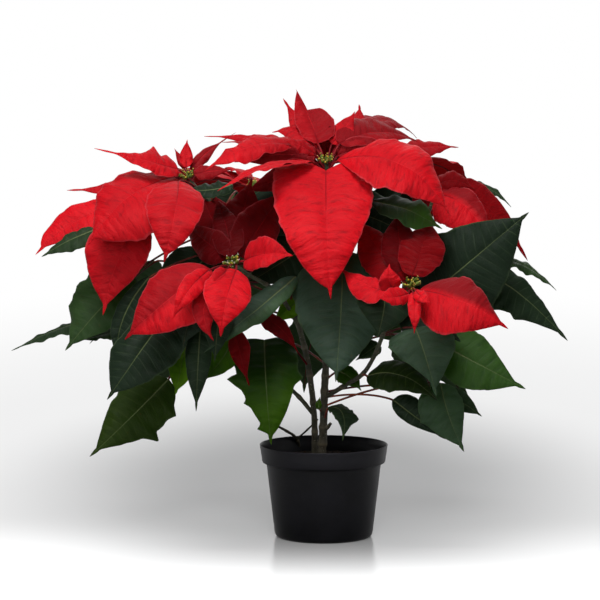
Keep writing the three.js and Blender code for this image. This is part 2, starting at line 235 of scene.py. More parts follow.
def addAir():
    air = bpy.data.worlds.new("air")
    air.use_nodes = True
    scene.world = air
    tree = air.node_tree
    tree.nodes.clear()
    ray = added(tree, "LightPath")
    height = heightOf(tree, added(tree, "TexCoord")["Generated"])
    low, high = airLook["bandTop"]
    shine = ranged(tree, height, low, high, airLook["lowShine"], airLook["shine"], False)
    plain = added(tree, "Background", {"Color": airLook["tint"], "Strength": airLook["strength"]})[0]
    mirrored = added(tree, "Background", {"Color": airLook["shineTint"], "Strength": shine})[0]
    backdrop = added(tree, "Background", {"Color": airLook["backdrop"], "Strength": 1})[0]
    sky = blended(tree, ray["Is Glossy Ray"], plain, mirrored)
    added(tree, "OutputWorld", {"Surface": blended(tree, ray["Is Camera Ray"], sky, backdrop)})


addAir()
print("room ready")


# The vein pattern of a blade, from the attributes that every blade carries: veinPhase counts the side veins,
# ribDistance is mm from the midrib, alongShare runs from the base to the tip and marginShare to the edge.
veinShape = {
    "ribTaper": (1.25, 0.3), "ribFade": (0.25, 0.85, 1.0, 0.45), "patchScale": 55,
    "patch": (0.35, 0.65, 0.3, 1.0), "edgeFade": (0.5, 0.95, 1.0, 0.1), "quiltWidth": 0.42,
    "creaseAlong": 1.9, "creaseAcross": 0.075, "netScale": 620, "netWidth": 0.22, "rim": 0.93,
}


def makeVeins():
    tree, given, made = newGroup(
        "bladeVeins", ("RibWidth", "VeinWidth"), ("Rib", "Vein", "Quilt", "Crease", "Net", "Margin"))
    phase, rib = attribute(tree, "veinPhase"), attribute(tree, "ribDistance")
    along, margin = attribute(tree, "alongShare"), attribute(tree, "marginShare")
    taper = ranged(tree, along, 0.0, 1.0, *veinShape["ribTaper"], smooth=False)
    width = times(tree, given["RibWidth"], taper)
    strong = ranged(tree, along, *veinShape["ribFade"])
    wire(tree, made["Rib"], times(tree, ranged(tree, rib, 0.0, width, 1.0, 0.0), strong))
    offset = sums(tree, "ABSOLUTE", sums(tree, "SUBTRACT", sums(tree, "FRACT", phase), 0.5))
    patch = ranged(tree, speckle(tree, objectSpace(tree), veinShape["patchScale"], 2), *veinShape["patch"])
    fade = times(tree, ranged(tree, margin, *veinShape["edgeFade"]), patch)
    wire(tree, made["Vein"], times(tree, ranged(tree, offset, 0.0, given["VeinWidth"], 1.0, 0.0), fade))
    wire(tree, made["Quilt"], times(tree, ranged(tree, offset, 0.0, veinShape["quiltWidth"]), fade))
    flow = added(tree, "CombineXYZ", {  # wrinkles that run with the side veins
        "X": times(tree, phase, veinShape["creaseAlong"]),
        "Y": times(tree, rib, veinShape["creaseAcross"])})[0]
    wire(tree, made["Crease"], speckle(tree, flow, 1.0, 4, 0.6))
    net = cells(tree, objectSpace(tree), veinShape["netScale"])
    wire(tree, made["Net"], ranged(tree, net, 0.0, veinShape["netWidth"], 1.0, 0.0))
    wire(tree, made["Margin"], ranged(tree, margin, veinShape["rim"], 1.0))
    return tree


veins = makeVeins()
bladeGrain = {
    "blotchScale": 26, "fineScale": 900, "furrowShade": (0.5, 0.3), "ribTurn": (0.2, 0.5), "sheenRough": 0.4,
    "swellDepth": 0.001, "cellScale": 260, "cellDepth": 0.00022, "netDepth": 0.5,
}


# A blade's skin: a velvety or waxy face with its veins, which lets some light through.
def bladeSkin(name, look):
    material, tree, skin, surface = newMaterial(name)
    space = objectSpace(tree)
    tone = attribute(tree, "tone")
    vein = added(
        tree, "Group", {"RibWidth": look["ribWidth"], "VeinWidth": look["veinWidth"]}, node_tree=veins)
    # The tone picks the base colour between deep, middle and bright: partly each blade's own colour, partly
    # painted shade and painted light where the crown shades or lights a blade.
    ground = mixed(tree, ranged(tree, tone, 0.0, 0.5, smooth=False), look["deep"], look["middle"])
    ground = mixed(tree, ranged(tree, tone, 0.5, 1.0, smooth=False), ground, look["bright"])
    blotch = flecks(tree, space, bladeGrain["blotchScale"], 4)
    ground = laid(tree, ground, blotch, look["blotch"], look["shade"])
    fine = flecks(tree, space, bladeGrain["fineScale"], 2, 0.35, 0.65)
    ground = laid(tree, ground, fine, look["fine"], look["shade"])
    ground = laid(tree, ground, vein["Net"], look["net"], look["veinTint"])
    # Painted shade: the blade is darkened with the shade tint along its wrinkles, where shade falls in the
    # creases; the mottle and flecks above are its own blotches.
    furrowShade = ranged(tree, vein["Crease"], *bladeGrain["furrowShade"])
    ground = laid(tree, ground, furrowShade, look["furrowShade"], look["shade"])
    ground = laid(tree, ground, vein["Vein"], look["veinShare"], look["veinTint"])
    turn = ranged(tree, attribute(tree, "alongShare"), *bladeGrain["ribTurn"])
    rib = mixed(tree, turn, look["ribTint"], look["ribFar"])
    ground = laid(tree, ground, vein["Rib"], look["ribShare"], rib)
    ground = laid(tree, ground, vein["Margin"], look["rimShare"], look["rimTint"])
    skin.inputs["Sheen Weight"].default_value = look["sheen"]
    skin.inputs["Sheen Roughness"].default_value = bladeGrain["sheenRough"]
    skin.inputs["Sheen Tint"].default_value = look["sheenTint"]
    swell = sums(tree, "SUBTRACT", times(tree, vein["Quilt"], look["quilt"]),
                 times(tree, vein["Rib"], look["ribDepth"]))
    swell = sums(tree, "ADD", swell, times(tree, vein["Crease"], look["crease"]))
    coarse = bumped(tree, swell, bladeGrain["swellDepth"])
    cell = sums(tree, "SUBTRACT", speckle(tree, space, bladeGrain["cellScale"], 3),
                times(tree, vein["Net"], bladeGrain["netDepth"]))
    normal = bumped(tree, cell, bladeGrain["cellDepth"], look["grain"], coarse)
    coat(tree, skin, ground, ranged(tree, blotch, 0, 1, *look["rough"]), normal, look["specular"])
    glow = mixed(tree, tone, look["throughDeep"], look["throughBright"])
    through = added(tree, "BsdfTranslucent", {"Color": glow, "Normal": normal})[0]
    wire(tree, surface, blended(tree, look["through"], skin.outputs[0], through))
    return material


bractLook = {
    "deep": (0.24, 0.001, 0.004, 1), "middle": (0.52, 0.002, 0.008, 1), "bright": (0.80, 0.0035, 0.012, 1),
    "shade": (0.24, 0.001, 0.006, 1), "blotch": 0.3, "fine": 0.12, "net": 0.06, "furrowShade": 0.6,
    "veinTint": (0.33, 0.001, 0.009, 1), "veinShare": 0.25,
    "ribTint": (0.20, 0.002, 0.008, 1), "ribFar": (0.80, 0.02, 0.03, 1), "ribShare": 0.75, "ribWidth": 0.9,
    "veinWidth": 0.12, "rimTint": (0.80, 0.09, 0.11, 1), "rimShare": 0.5,
    "rough": (0.55, 0.68), "specular": 0.16, "sheen": 0.05, "sheenTint": (1, 0.35, 0.4, 1),
    "quilt": 0.25, "crease": 2.2, "ribDepth": 0.4, "grain": 0.5,
    "throughDeep": (0.70, 0.004, 0.006, 1), "throughBright": (0.95, 0.012, 0.016, 1), "through": 0.26,
}
leafLook = {
    "deep": (0.005, 0.012, 0.006, 1), "middle": (0.026, 0.048, 0.019, 1), "bright": (0.040, 0.105, 0.010, 1),
    "shade": (0.009, 0.019, 0.010, 1), "blotch": 0.35, "fine": 0.15, "net": 0.10, "furrowShade": 0.45,
    "veinTint": (0.068, 0.105, 0.050, 1), "veinShare": 0.42,
    "ribTint": (0.15, 0.18, 0.075, 1), "ribFar": (0.15, 0.20, 0.075, 1), "ribShare": 0.9, "ribWidth": 1.1,
    "veinWidth": 0.085, "rimTint": (0.09, 0.14, 0.06, 1), "rimShare": 0.4,
    "rough": (0.45, 0.58), "specular": 0.09, "sheen": 0.01, "sheenTint": (0.8, 0.9, 1, 1),
    "quilt": 0.3, "crease": 1.0, "ribDepth": 0.4, "grain": 0.4,
    "throughDeep": (0.05, 0.16, 0.006, 1), "throughBright": (0.30, 0.62, 0.02, 1), "through": 0.24,
}
# A brighter, bluer copy of the leaf look for leaves that lie in the crown's shade: partly their own bluish
# green, partly painted light.
coolLitLook = dict(
    leafLook, deep=(0.018, 0.030, 0.022, 1), middle=(0.043, 0.070, 0.052, 1), bright=(0.056, 0.095, 0.055, 1))
oliveLook = dict(
    leafLook, deep=(0.005, 0.012, 0.0015, 1), middle=(0.027, 0.048, 0.005, 1),
    bright=(0.045, 0.105, 0.004, 1), shade=(0.009, 0.019, 0.003, 1), veinTint=(0.062, 0.095, 0.020, 1),
    specular=0.06,
)
youngLook = dict(
    leafLook, deep=(0.003, 0.010, 0.001, 1), middle=(0.012, 0.034, 0.002, 1), bright=(0.048, 0.105, 0.002, 1),
    veinTint=(0.055, 0.105, 0.012, 1), specular=0.06, through=0.35, throughBright=(0.32, 0.60, 0.005, 1),
)
# A much brighter copy of the young look: partly the young leaves' own lime green, partly a painted glow of
# light shining through them from behind.
limeGlowLook = dict(
    youngLook, bright=(0.14, 0.30, 0.008, 1), shade=(0.06, 0.13, 0.004, 1), veinTint=(0.17, 0.31, 0.03, 1))
bractBelow = dict(
    bractLook, deep=(0.34, 0.003, 0.008, 1), middle=(0.47, 0.006, 0.013, 1), bright=(0.60, 0.010, 0.018, 1),
    veinTint=(0.56, 0.02, 0.03, 1), ribTint=(0.55, 0.03, 0.035, 1), quilt=-0.3, crease=-1.2, ribDepth=-0.6,
    rough=(0.65, 0.78), specular=0.12,
)
leafBelow = dict(
    leafLook, deep=(0.030, 0.055, 0.025, 1), middle=(0.055, 0.10, 0.035, 1), bright=(0.080, 0.15, 0.045, 1),
    shade=(0.028, 0.050, 0.022, 1), veinTint=(0.10, 0.16, 0.07, 1), ribTint=(0.20, 0.26, 0.12, 1), quilt=-0.3,
    crease=-1.0, ribDepth=-0.6, rough=(0.6, 0.72), specular=0.25,
)
finishes = {name: bladeSkin(name, look) for name, look in {
    "bractUpper": bractLook, "bractLower": bractBelow, "leafUpper": leafLook, "leafLower": leafBelow,
    "youngUpper": youngLook, "coolLitUpper": coolLitLook, "oliveUpper": oliveLook, "limeGlowUpper": limeGlowLook,
}.items()}


# Stalks and the parts of a flower centre: smooth, patchy between two tints, with a fine grain.
stalkLook = {
    "patchScale": 90, "grainScale": 1400, "grainDepth": 0.0001, "grain": 0.5, "rough": (0.42, 0.58),
    "specular": 0.12,
}


def stalkSkin(name, deep, bright):
    material, tree, skin, _ = newMaterial(name)
    space = objectSpace(tree)
    patch = flecks(tree, space, stalkLook["patchScale"], 4, 0.35, 0.65)
    grain = speckle(tree, space, stalkLook["grainScale"], 2)
    coat(tree, skin, mixed(tree, patch, deep, bright), ranged(tree, patch, 0, 1, *stalkLook["rough"]),
         bumped(tree, grain, stalkLook["grainDepth"], stalkLook["grain"]), stalkLook["specular"])
    return material


# Stem bark: green where young, grey-brown and corky where old, with pale pores and the scars of old leaves.
barkLook = {
    "stretch": (1, 1, 0.28), "streakScale": 620, "streak": (0.55, 0.72),
    "streakTint": (0.035, 0.026, 0.017, 1), "patchScale": 110,
    "young": ((0.032, 0.052, 0.018, 1), (0.060, 0.076, 0.030, 1)),
    "old": ((0.058, 0.049, 0.032, 1), (0.13, 0.112, 0.076, 1)),
    "poreScale": 430, "pore": (0.69, 0.74), "poreShare": 0.8, "poreTint": (0.36, 0.32, 0.23, 1),
    "scarShare": 0.55, "scarTint": (0.26, 0.21, 0.13, 1), "rough": (0.62, 0.85), "poreHeight": 0.6,
    "depth": 0.0006, "strength": 0.8,
}


def barkSkin():
    material, tree, skin, _ = newMaterial("bark")
    space = objectSpace(tree)
    streak = speckle(tree, stretched(tree, space, barkLook["stretch"]), barkLook["streakScale"], 5, 0.65)
    patch = flecks(tree, space, barkLook["patchScale"], 4, 0.35, 0.65)
    young = mixed(tree, patch, *barkLook["young"])
    old = mixed(tree, patch, *barkLook["old"])
    ground = mixed(tree, attribute(tree, "age"), young, old)
    ground = mixed(tree, ranged(tree, streak, *barkLook["streak"]), ground, barkLook["streakTint"])
    pore = flecks(tree, space, barkLook["poreScale"], 1, *barkLook["pore"])
    ground = laid(tree, ground, pore, barkLook["poreShare"], barkLook["poreTint"])
    ground = laid(tree, ground, attribute(tree, "scar"), barkLook["scarShare"], barkLook["scarTint"])
    height = sums(tree, "ADD", times(tree, streak, -1.0), times(tree, pore, barkLook["poreHeight"]))
    coat(tree, skin, ground, ranged(tree, streak, 0.3, 0.8, *barkLook["rough"]),
         bumped(tree, height, barkLook["depth"], barkLook["strength"]))
    return material


finishes["redStalk"] = stalkSkin("redStalk", (0.085, 0.014, 0.012, 1), (0.19, 0.045, 0.022, 1))
finishes["bractStalk"] = stalkSkin("bractStalk", (0.13, 0.004, 0.008, 1), (0.24, 0.010, 0.012, 1))
finishes["bark"] = barkSkin()
print("finishes ready")


# Mesh helpers

# The part's own name of a piece, where it has one: topBractFront stands for top_bract_front.
def nodeOf(name):
    node = "".join("_" + c.lower() if c.isupper() else c for c in name)
    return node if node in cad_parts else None


def finishPiece(name, bm, finishNames, slot, node=None, shaded=False):
    bmesh.ops.recalc_face_normals(bm, faces=bm.faces[:])
    mesh = bpy.data.meshes.new(name)
    bm.to_mesh(mesh)
    bm.free()
    for finish in finishNames:
        mesh.materials.append(finishes[finish])
    mesh.shade_smooth()
    piece = bpy.data.objects.new(name, mesh)
    scene.collection.objects.link(piece)
    lightSets["plantPieces"].objects.link(piece)
    lightSets["shadePieces" if shaded else "openPieces"].objects.link(piece)
    if not shaded and slot in ("red_bract", "green_leaf"):
        lightSets["bladePieces"].objects.link(piece)
    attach(piece, "root")
    node = node or nodeOf(name)
    if node:
        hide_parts(node)


# Named values on a mesh's points. They are asked for before any point is made, because a new one renews them.
def keepLayers(bm, *names):
    stored = bm.verts.layers.float
    for name in names:
        if name not in stored:
            stored.new(name)
    return {name: stored[name] for name in names}


def ringFrame(centre, tangent, side):
    side = (side - tangent * side.dot(tangent)).normalized()
    up = tangent.cross(side)
    return side, Matrix((
        (side.x, up.x, tangent.x, centre.x),
        (side.y, up.y, tangent.y, centre.y),
        (side.z, up.z, tangent.z, centre.z),
        (0, 0, 0, 1),
    ))


def edgesOf(loop):
    return list({e for v in loop for e in v.link_edges if e.other_vert(v) in loop})


# A closed tube through rings, each a centre, a tangent and a radius. Marks are values kept on each ring.
def addTube(bm, rings, sides, material, side=Vector((0.3, 1, 0.2)), marks=()):
    layers = keepLayers(bm, *(name for name, _ in marks))
    loop = bmesh.ops.create_circle(bm, segments=sides, radius=1)["verts"]
    last = Matrix.Identity(4)
    for i, (centre, tangent, radius) in enumerate(rings):
        side, turn = ringFrame(centre, tangent, side)
        matrix = turn @ Matrix.Diagonal((radius, radius, radius, 1))
        if i:
            grown = bmesh.ops.extrude_edge_only(bm, edges=edgesOf(loop))["geom"]
            loop = [v for v in grown if isinstance(v, bmesh.types.BMVert)]
            for face in (f for f in grown if isinstance(f, bmesh.types.BMFace)):
                face.material_index = material
        else:
            bmesh.ops.contextual_create(bm, geom=edgesOf(loop), mat_nr=material)
        bmesh.ops.transform(bm, matrix=matrix @ last.inverted(), verts=loop)
        for name, values in marks:
            for v in loop:
                v[layers[name]] = values[i]
        last = matrix
    bmesh.ops.contextual_create(bm, geom=edgesOf(loop), mat_nr=material)


# A profile of radius and height in mm, turned once round the pot's axis.
def addTurned(bm, profile, steps):
    points = [bm.verts.new((r * mm, 0, z * mm)) for r, z in profile]
    edges = [bm.edges.new(pair) for pair in zip(points, points[1:])]
    bmesh.ops.spin(bm, geom=points + edges, cent=(0, 0, 0), axis=(0, 0, 1), angle=2 * math.pi, steps=steps,
                   use_merge=True)
    bmesh.ops.remove_doubles(bm, verts=bm.verts[:], dist=1e-6)


# Stems

courseSteps = 240
tangentShare = 0.004


class Course:
    # A smooth course through placed points, as the part's own stems run.
    def __init__(self, points):
        self.points = [placed(p) for p in points]
        self.samples = [self.at(i / courseSteps) for i in range(courseSteps + 1)]
        self.lengths = [0.0]
        for a, b in zip(self.samples, self.samples[1:]):
            self.lengths.append(self.lengths[-1] + (b - a).length)
        self.length = self.lengths[-1]

    def at(self, t):
        points = self.points
        place = clamped(t) * (len(points) - 1)
        i = min(int(place), len(points) - 2)
        weight = place - i
        p1, p2 = points[i], points[i + 1]
        p0 = points[i - 1] if i else p1 * 2 - p2
        p3 = points[i + 2] if i + 2 < len(points) else p2 * 2 - p1
        d0, d1, d2 = (max((b - a).length_squared ** 0.25, 1e-4) for a, b in ((p0, p1), (p1, p2), (p2, p3)))
        m1 = ((p1 - p0) / d0 - (p2 - p0) / (d0 + d1) + (p2 - p1) / d1) * d1
        m2 = ((p2 - p1) / d1 - (p3 - p1) / (d1 + d2) + (p3 - p2) / d2) * d1
        w2, w3 = weight * weight, weight**3
        return p1 + m1 * weight + ((p2 - p1) * 3 - m1 * 2 - m2) * w2 + ((p1 - p2) * 2 + m1 + m2) * w3

    def along(self, share):
        want = clamped(share) * self.length
        i = next((k for k, length in enumerate(self.lengths) if length >= want), courseSteps)
        if i == 0:
            return self.samples[0].copy()
        a, b = self.lengths[i - 1], self.lengths[i]
        return self.samples[i - 1].lerp(self.samples[i], (want - a) / max(b - a, 1e-9))

    def tangent(self, share):
        return (self.along(share + tangentShare) - self.along(share - tangentShare)).normalized()


# Each stem: the points that its axis passes through, its radius at the foot and at the top, the shares of its
# length where it has nodes, and how old its bark is at the foot and at the top.
stemRows = {
    "mainStem": ([[-3, 74, 0], [-1, 98, 1], [1, 153, 0], [3, 186, -1]], (4.4, 3.4),
                  (0.18, 0.33, 0.5, 0.66, 0.8, 0.93), (1, 0.75)),
    "sideStem": ([[-9, 74, 8], [-10, 127, 8], [-19, 190, 10], [-37, 242, 8], [-95, 320, 2], [-137, 362, -4]],
                  (3.2, 2.2), (0.1, 0.19, 0.27, 0.36, 0.45, 0.55, 0.66, 0.76, 0.86, 0.94), (0.9, 0.15)),
    "topBranch": ([[2, 176, -1], [8, 230, -2], [8, 300, -4], [2, 378, -4]], (2.8, 2.2),
                   (0.12, 0.28, 0.45, 0.6, 0.74, 0.87), (0.6, 0)),
    "lowBranch": ([[-10, 124, 8], [-28, 145, 8], [-62, 172, 4], [-110, 187, -8], [-140, 189, -16]],
                  (2.2, 1.5), (0.15, 0.35, 0.55, 0.8), (0.5, 0)),
    "lowerLeftBranch": ([[-27, 218, 9], [-46, 247, -8], [-76, 266, -42], [-92, 277, -72]], (2.2, 1.8),
                          (0.2, 0.45, 0.7), (0.4, 0)),
    "lowerRightBranch": ([[2, 142, 0], [22, 154, -8], [40, 166, -20], [52, 186, -32], [66, 220, -48],
                            [88, 254, -72]], (2.4, 1.8), (0.12, 0.3, 0.48, 0.62, 0.8), (0.8, 0)),
    "rightBranch": ([[2, 178, 0], [30, 215, 20], [80, 275, 30], [112, 346, 24]], (2.5, 1.9),
                     (0.15, 0.32, 0.5, 0.68, 0.85), (0.6, 0)),
    "backBranch": ([[2, 168, 0], [8, 205, 40], [36, 290, 76], [64, 376, 86]], (2.5, 1.9),
                    (0.15, 0.32, 0.5, 0.68, 0.85), (0.6, 0)),
    "backLeftBranch": ([[-18, 185, 10], [-26, 215, 46], [-52, 290, 80], [-70, 352, 88]], (2.4, 1.9),
                         (0.15, 0.35, 0.55, 0.75), (0.5, 0)),
    "lowTwig": ([[-24, 77, 42], [-27, 99, 36], [-39, 108, 28], [-46, 112, 22], [-59, 123, 16]], (1.7, 1.1),
                (0.3, 0.55, 0.8), (1, 0.7)),
    "thinTwig": ([[-27, 99, 36], [-17, 108, 30], [-6, 119, 22]], (1.1, 0.8), (0.5,), (0.7, 0.4)),
    "twigStub": ([[1, 108, 0], [4, 111, -4], [7, 115, -6]], (1.9, 1.5), (0.6,), (1, 1)),
}
stemStyle = {
    "sides": 14, "step": 2.2, "swell": 0.2, "swellLength": 2.6, "bumps": 0.09, "bumpScale": 0.16,
    "fineBumps": 0.04, "fineScale": 0.5, "crook": 0.35, "crookScale": 0.07,
}
courses = {name: Course(row[0]) for name, row in stemRows.items()}


def addStem(name, row):
    _, (foot, top), nodes, (agedFoot, agedTop) = row
    course = courses[name]
    count = max(8, round(course.length / stemStyle["step"]))
    rings, age, scar = [], [], []
    for i in range(count + 1):
        share = i / count
        here = course.along(share)
        near = max(math.exp(-(((share - n) * course.length / stemStyle["swellLength"]) ** 2)) for n in nodes)
        rough = noise.noise(here * stemStyle["bumpScale"]) * stemStyle["bumps"]
        rough += noise.noise(here * stemStyle["fineScale"]) * stemStyle["fineBumps"]
        radius = (foot + (top - foot) * share) * (1 + near * stemStyle["swell"] + rough)
        bend = here * stemStyle["crookScale"]
        crook = Vector((noise.noise(bend), noise.noise(bend + Vector((9, 0, 0))), 0))
        rings.append(((here + crook * stemStyle["crook"]) * mm, course.tangent(share), radius * mm))
        age.append(agedFoot + (agedTop - agedFoot) * share)
        scar.append(near**3)
    bm = bmesh.new()
    addTube(bm, rings, stemStyle["sides"], 0, marks=(("age", age), ("scar", scar)))
    finishPiece(name, bm, ("bark",), "stem_bark")


for stemName, stemRow in stemRows.items():
    addStem(stemName, stemRow)
print("stems ready")


# Leaves and bracts. Each row: its stem and the share of the way up it, then the blade's base, middle and tip
# as points, the way that the upper face looks, and the widest half width on the left and on the right of one
# who stands on the upper face and looks to the tip. The style changes how the blade is cut and folded.
# A style's tone and tipTone hold the blade's own colour and painted shading: low where the blade, a half or
# the tip lies in shade, high where it is lit.
bladeStyle = {
    "fold": 0.25, "curl": 0.35, "back": 0.1, "widest": 0.37, "taper": 0.95, "rise": 0.5, "tail": 0.07,
    "tailWidth": 2.0, "wave": 1.5, "waves": 3.0, "lobes": (), "ragged": 0.05, "buckle": 1.6, "tone": 0.5,
    "thick": 0.5, "stalkRadius": 1.1, "hook": 0.0, "veinGap": 9.0, "veinSlope": 0.32, "veinBend": 0.004,
    "quilt": 0.2, "crumple": 0.8, "cup": 0.0, "shaded": False, "left": {}, "right": {},
}
# How every blade is meshed, in mm, and how closely its chance sways, wrinkles and teeth follow one another.
# What ends in Full is how far from the midrib, or at what half width, something has all its strength.
bladeMake = {
    "lengthSteps": 12, "acrossStep": 2.4, "across": (4, 14), "alongStep": 1.7, "along": (12, 80),
    "edgeThin": 0.55, "lobeFall": 1.3, "buckleScale": 0.028, "buckleFull": 16, "hookFrom": 0.7,
    "raggedScale": 0.11, "fineRaggedScale": 0.33, "fineRagged": 0.4, "tailFall": 0.8, "tailFull": 22,
    "tipWidth": 0.05, "warpScale": 0.035, "warp": 4, "cupEnd": 0.35, "fineWave": 0.5, "fineWaves": 2.3,
    "swellFall": 0.8, "quiltFull": 4, "crumpleAlong": 0.9, "crumpleAcross": 0.03, "fineCrumple": 0.45,
    "fineAlong": 2.1, "fineAcross": 0.05, "crumpleFull": 5, "crumpleWideFull": 14, "groove": 0.35,
    "grooveWidth": 1.3, "toneFull": 6, "tipToneFrom": 0.3, "tipToneOver": 0.4, "marginFull": 1.5,
}
# The stalk, and the midrib as shares of it.
stalkMake = {
    "step": 4, "fewest": 4, "sides": 8, "archAt": 0.6, "archHeight": 0.12, "ribSteps": 14, "ribEnd": 0.93,
    "ribFoot": 0.85, "ribFall": 0.8, "ribTip": 0.1, "sink": 0.95,
}
kinds = {
    "bract": ("bractUpper", "bractLower", "bractStalk"),
    "leaf": ("leafUpper", "leafLower", "redStalk"),
    "young": ("youngUpper", "leafLower", "redStalk"),
    "cool": ("coolLitUpper", "leafLower", "redStalk"),
    "olive": ("oliveUpper", "leafLower", "redStalk"),
    "lime": ("limeGlowUpper", "leafLower", "redStalk"),
}


def rowOf(stem, share, base, middle, tip, face, halves, **style):
    return {"stem": stem, "share": share, "base": base, "middle": middle, "tip": tip, "face": face,
            "halves": halves, "style": {**bladeStyle, **style}}


def bezier(a, b, c, t):
    return a * (1 - t) ** 2 + b * (2 * t * (1 - t)) + c * t * t


def bezierTangent(a, b, c, t):
    return ((b - a) * (1 - t) + (c - b) * t).normalized()


# The share of the half width at t, with a drawn-out tip. A lobe is its side, place, size and spread.
def bladeOutline(t, style, side):
    cut = {**style, **style["left" if side < 0 else "right"]}
    widest, end = cut["widest"], 1 - cut["tail"]
    if t < widest:
        share = math.sin(math.pi / 2 * t / widest) ** cut["rise"]
    else:
        u = min((t - widest) / (end - widest), 1)
        share = max(math.cos(math.pi / 2 * u), 0) ** cut["taper"]
    for lobeSide, at, amount, spread in cut["lobes"]:
        if lobeSide * side > 0:
            share += amount * max(0, 1 - abs(t - at) / spread) ** bladeMake["lobeFall"]
    return share


# The flat start of a blade: an upper and a lower skin, one above the other, and the band that closes them.
def addSkins(bm, across, along):
    bmesh.ops.create_grid(bm, x_segments=across, y_segments=along, size=1)
    upper = bm.verts[:]
    faces = list({f for v in upper for f in v.link_faces})
    edges = list({e for v in upper for e in v.link_edges})
    twin = bmesh.ops.duplicate(bm, geom=upper + edges + faces)["geom"]
    lower = [g for g in twin if isinstance(g, bmesh.types.BMVert)]
    below = [g for g in twin if isinstance(g, bmesh.types.BMFace)]
    bmesh.ops.reverse_faces(bm, faces=below)
    for v in upper:
        v.co.z = 1
    for v in lower:
        v.co.z = -1
    rim = {e for v in upper + lower for e in v.link_edges if e.is_boundary}
    band = bmesh.ops.bridge_loops(bm, edges=list(rim))["faces"]
    for f in below + band:
        f.material_index = 1
    return upper + lower


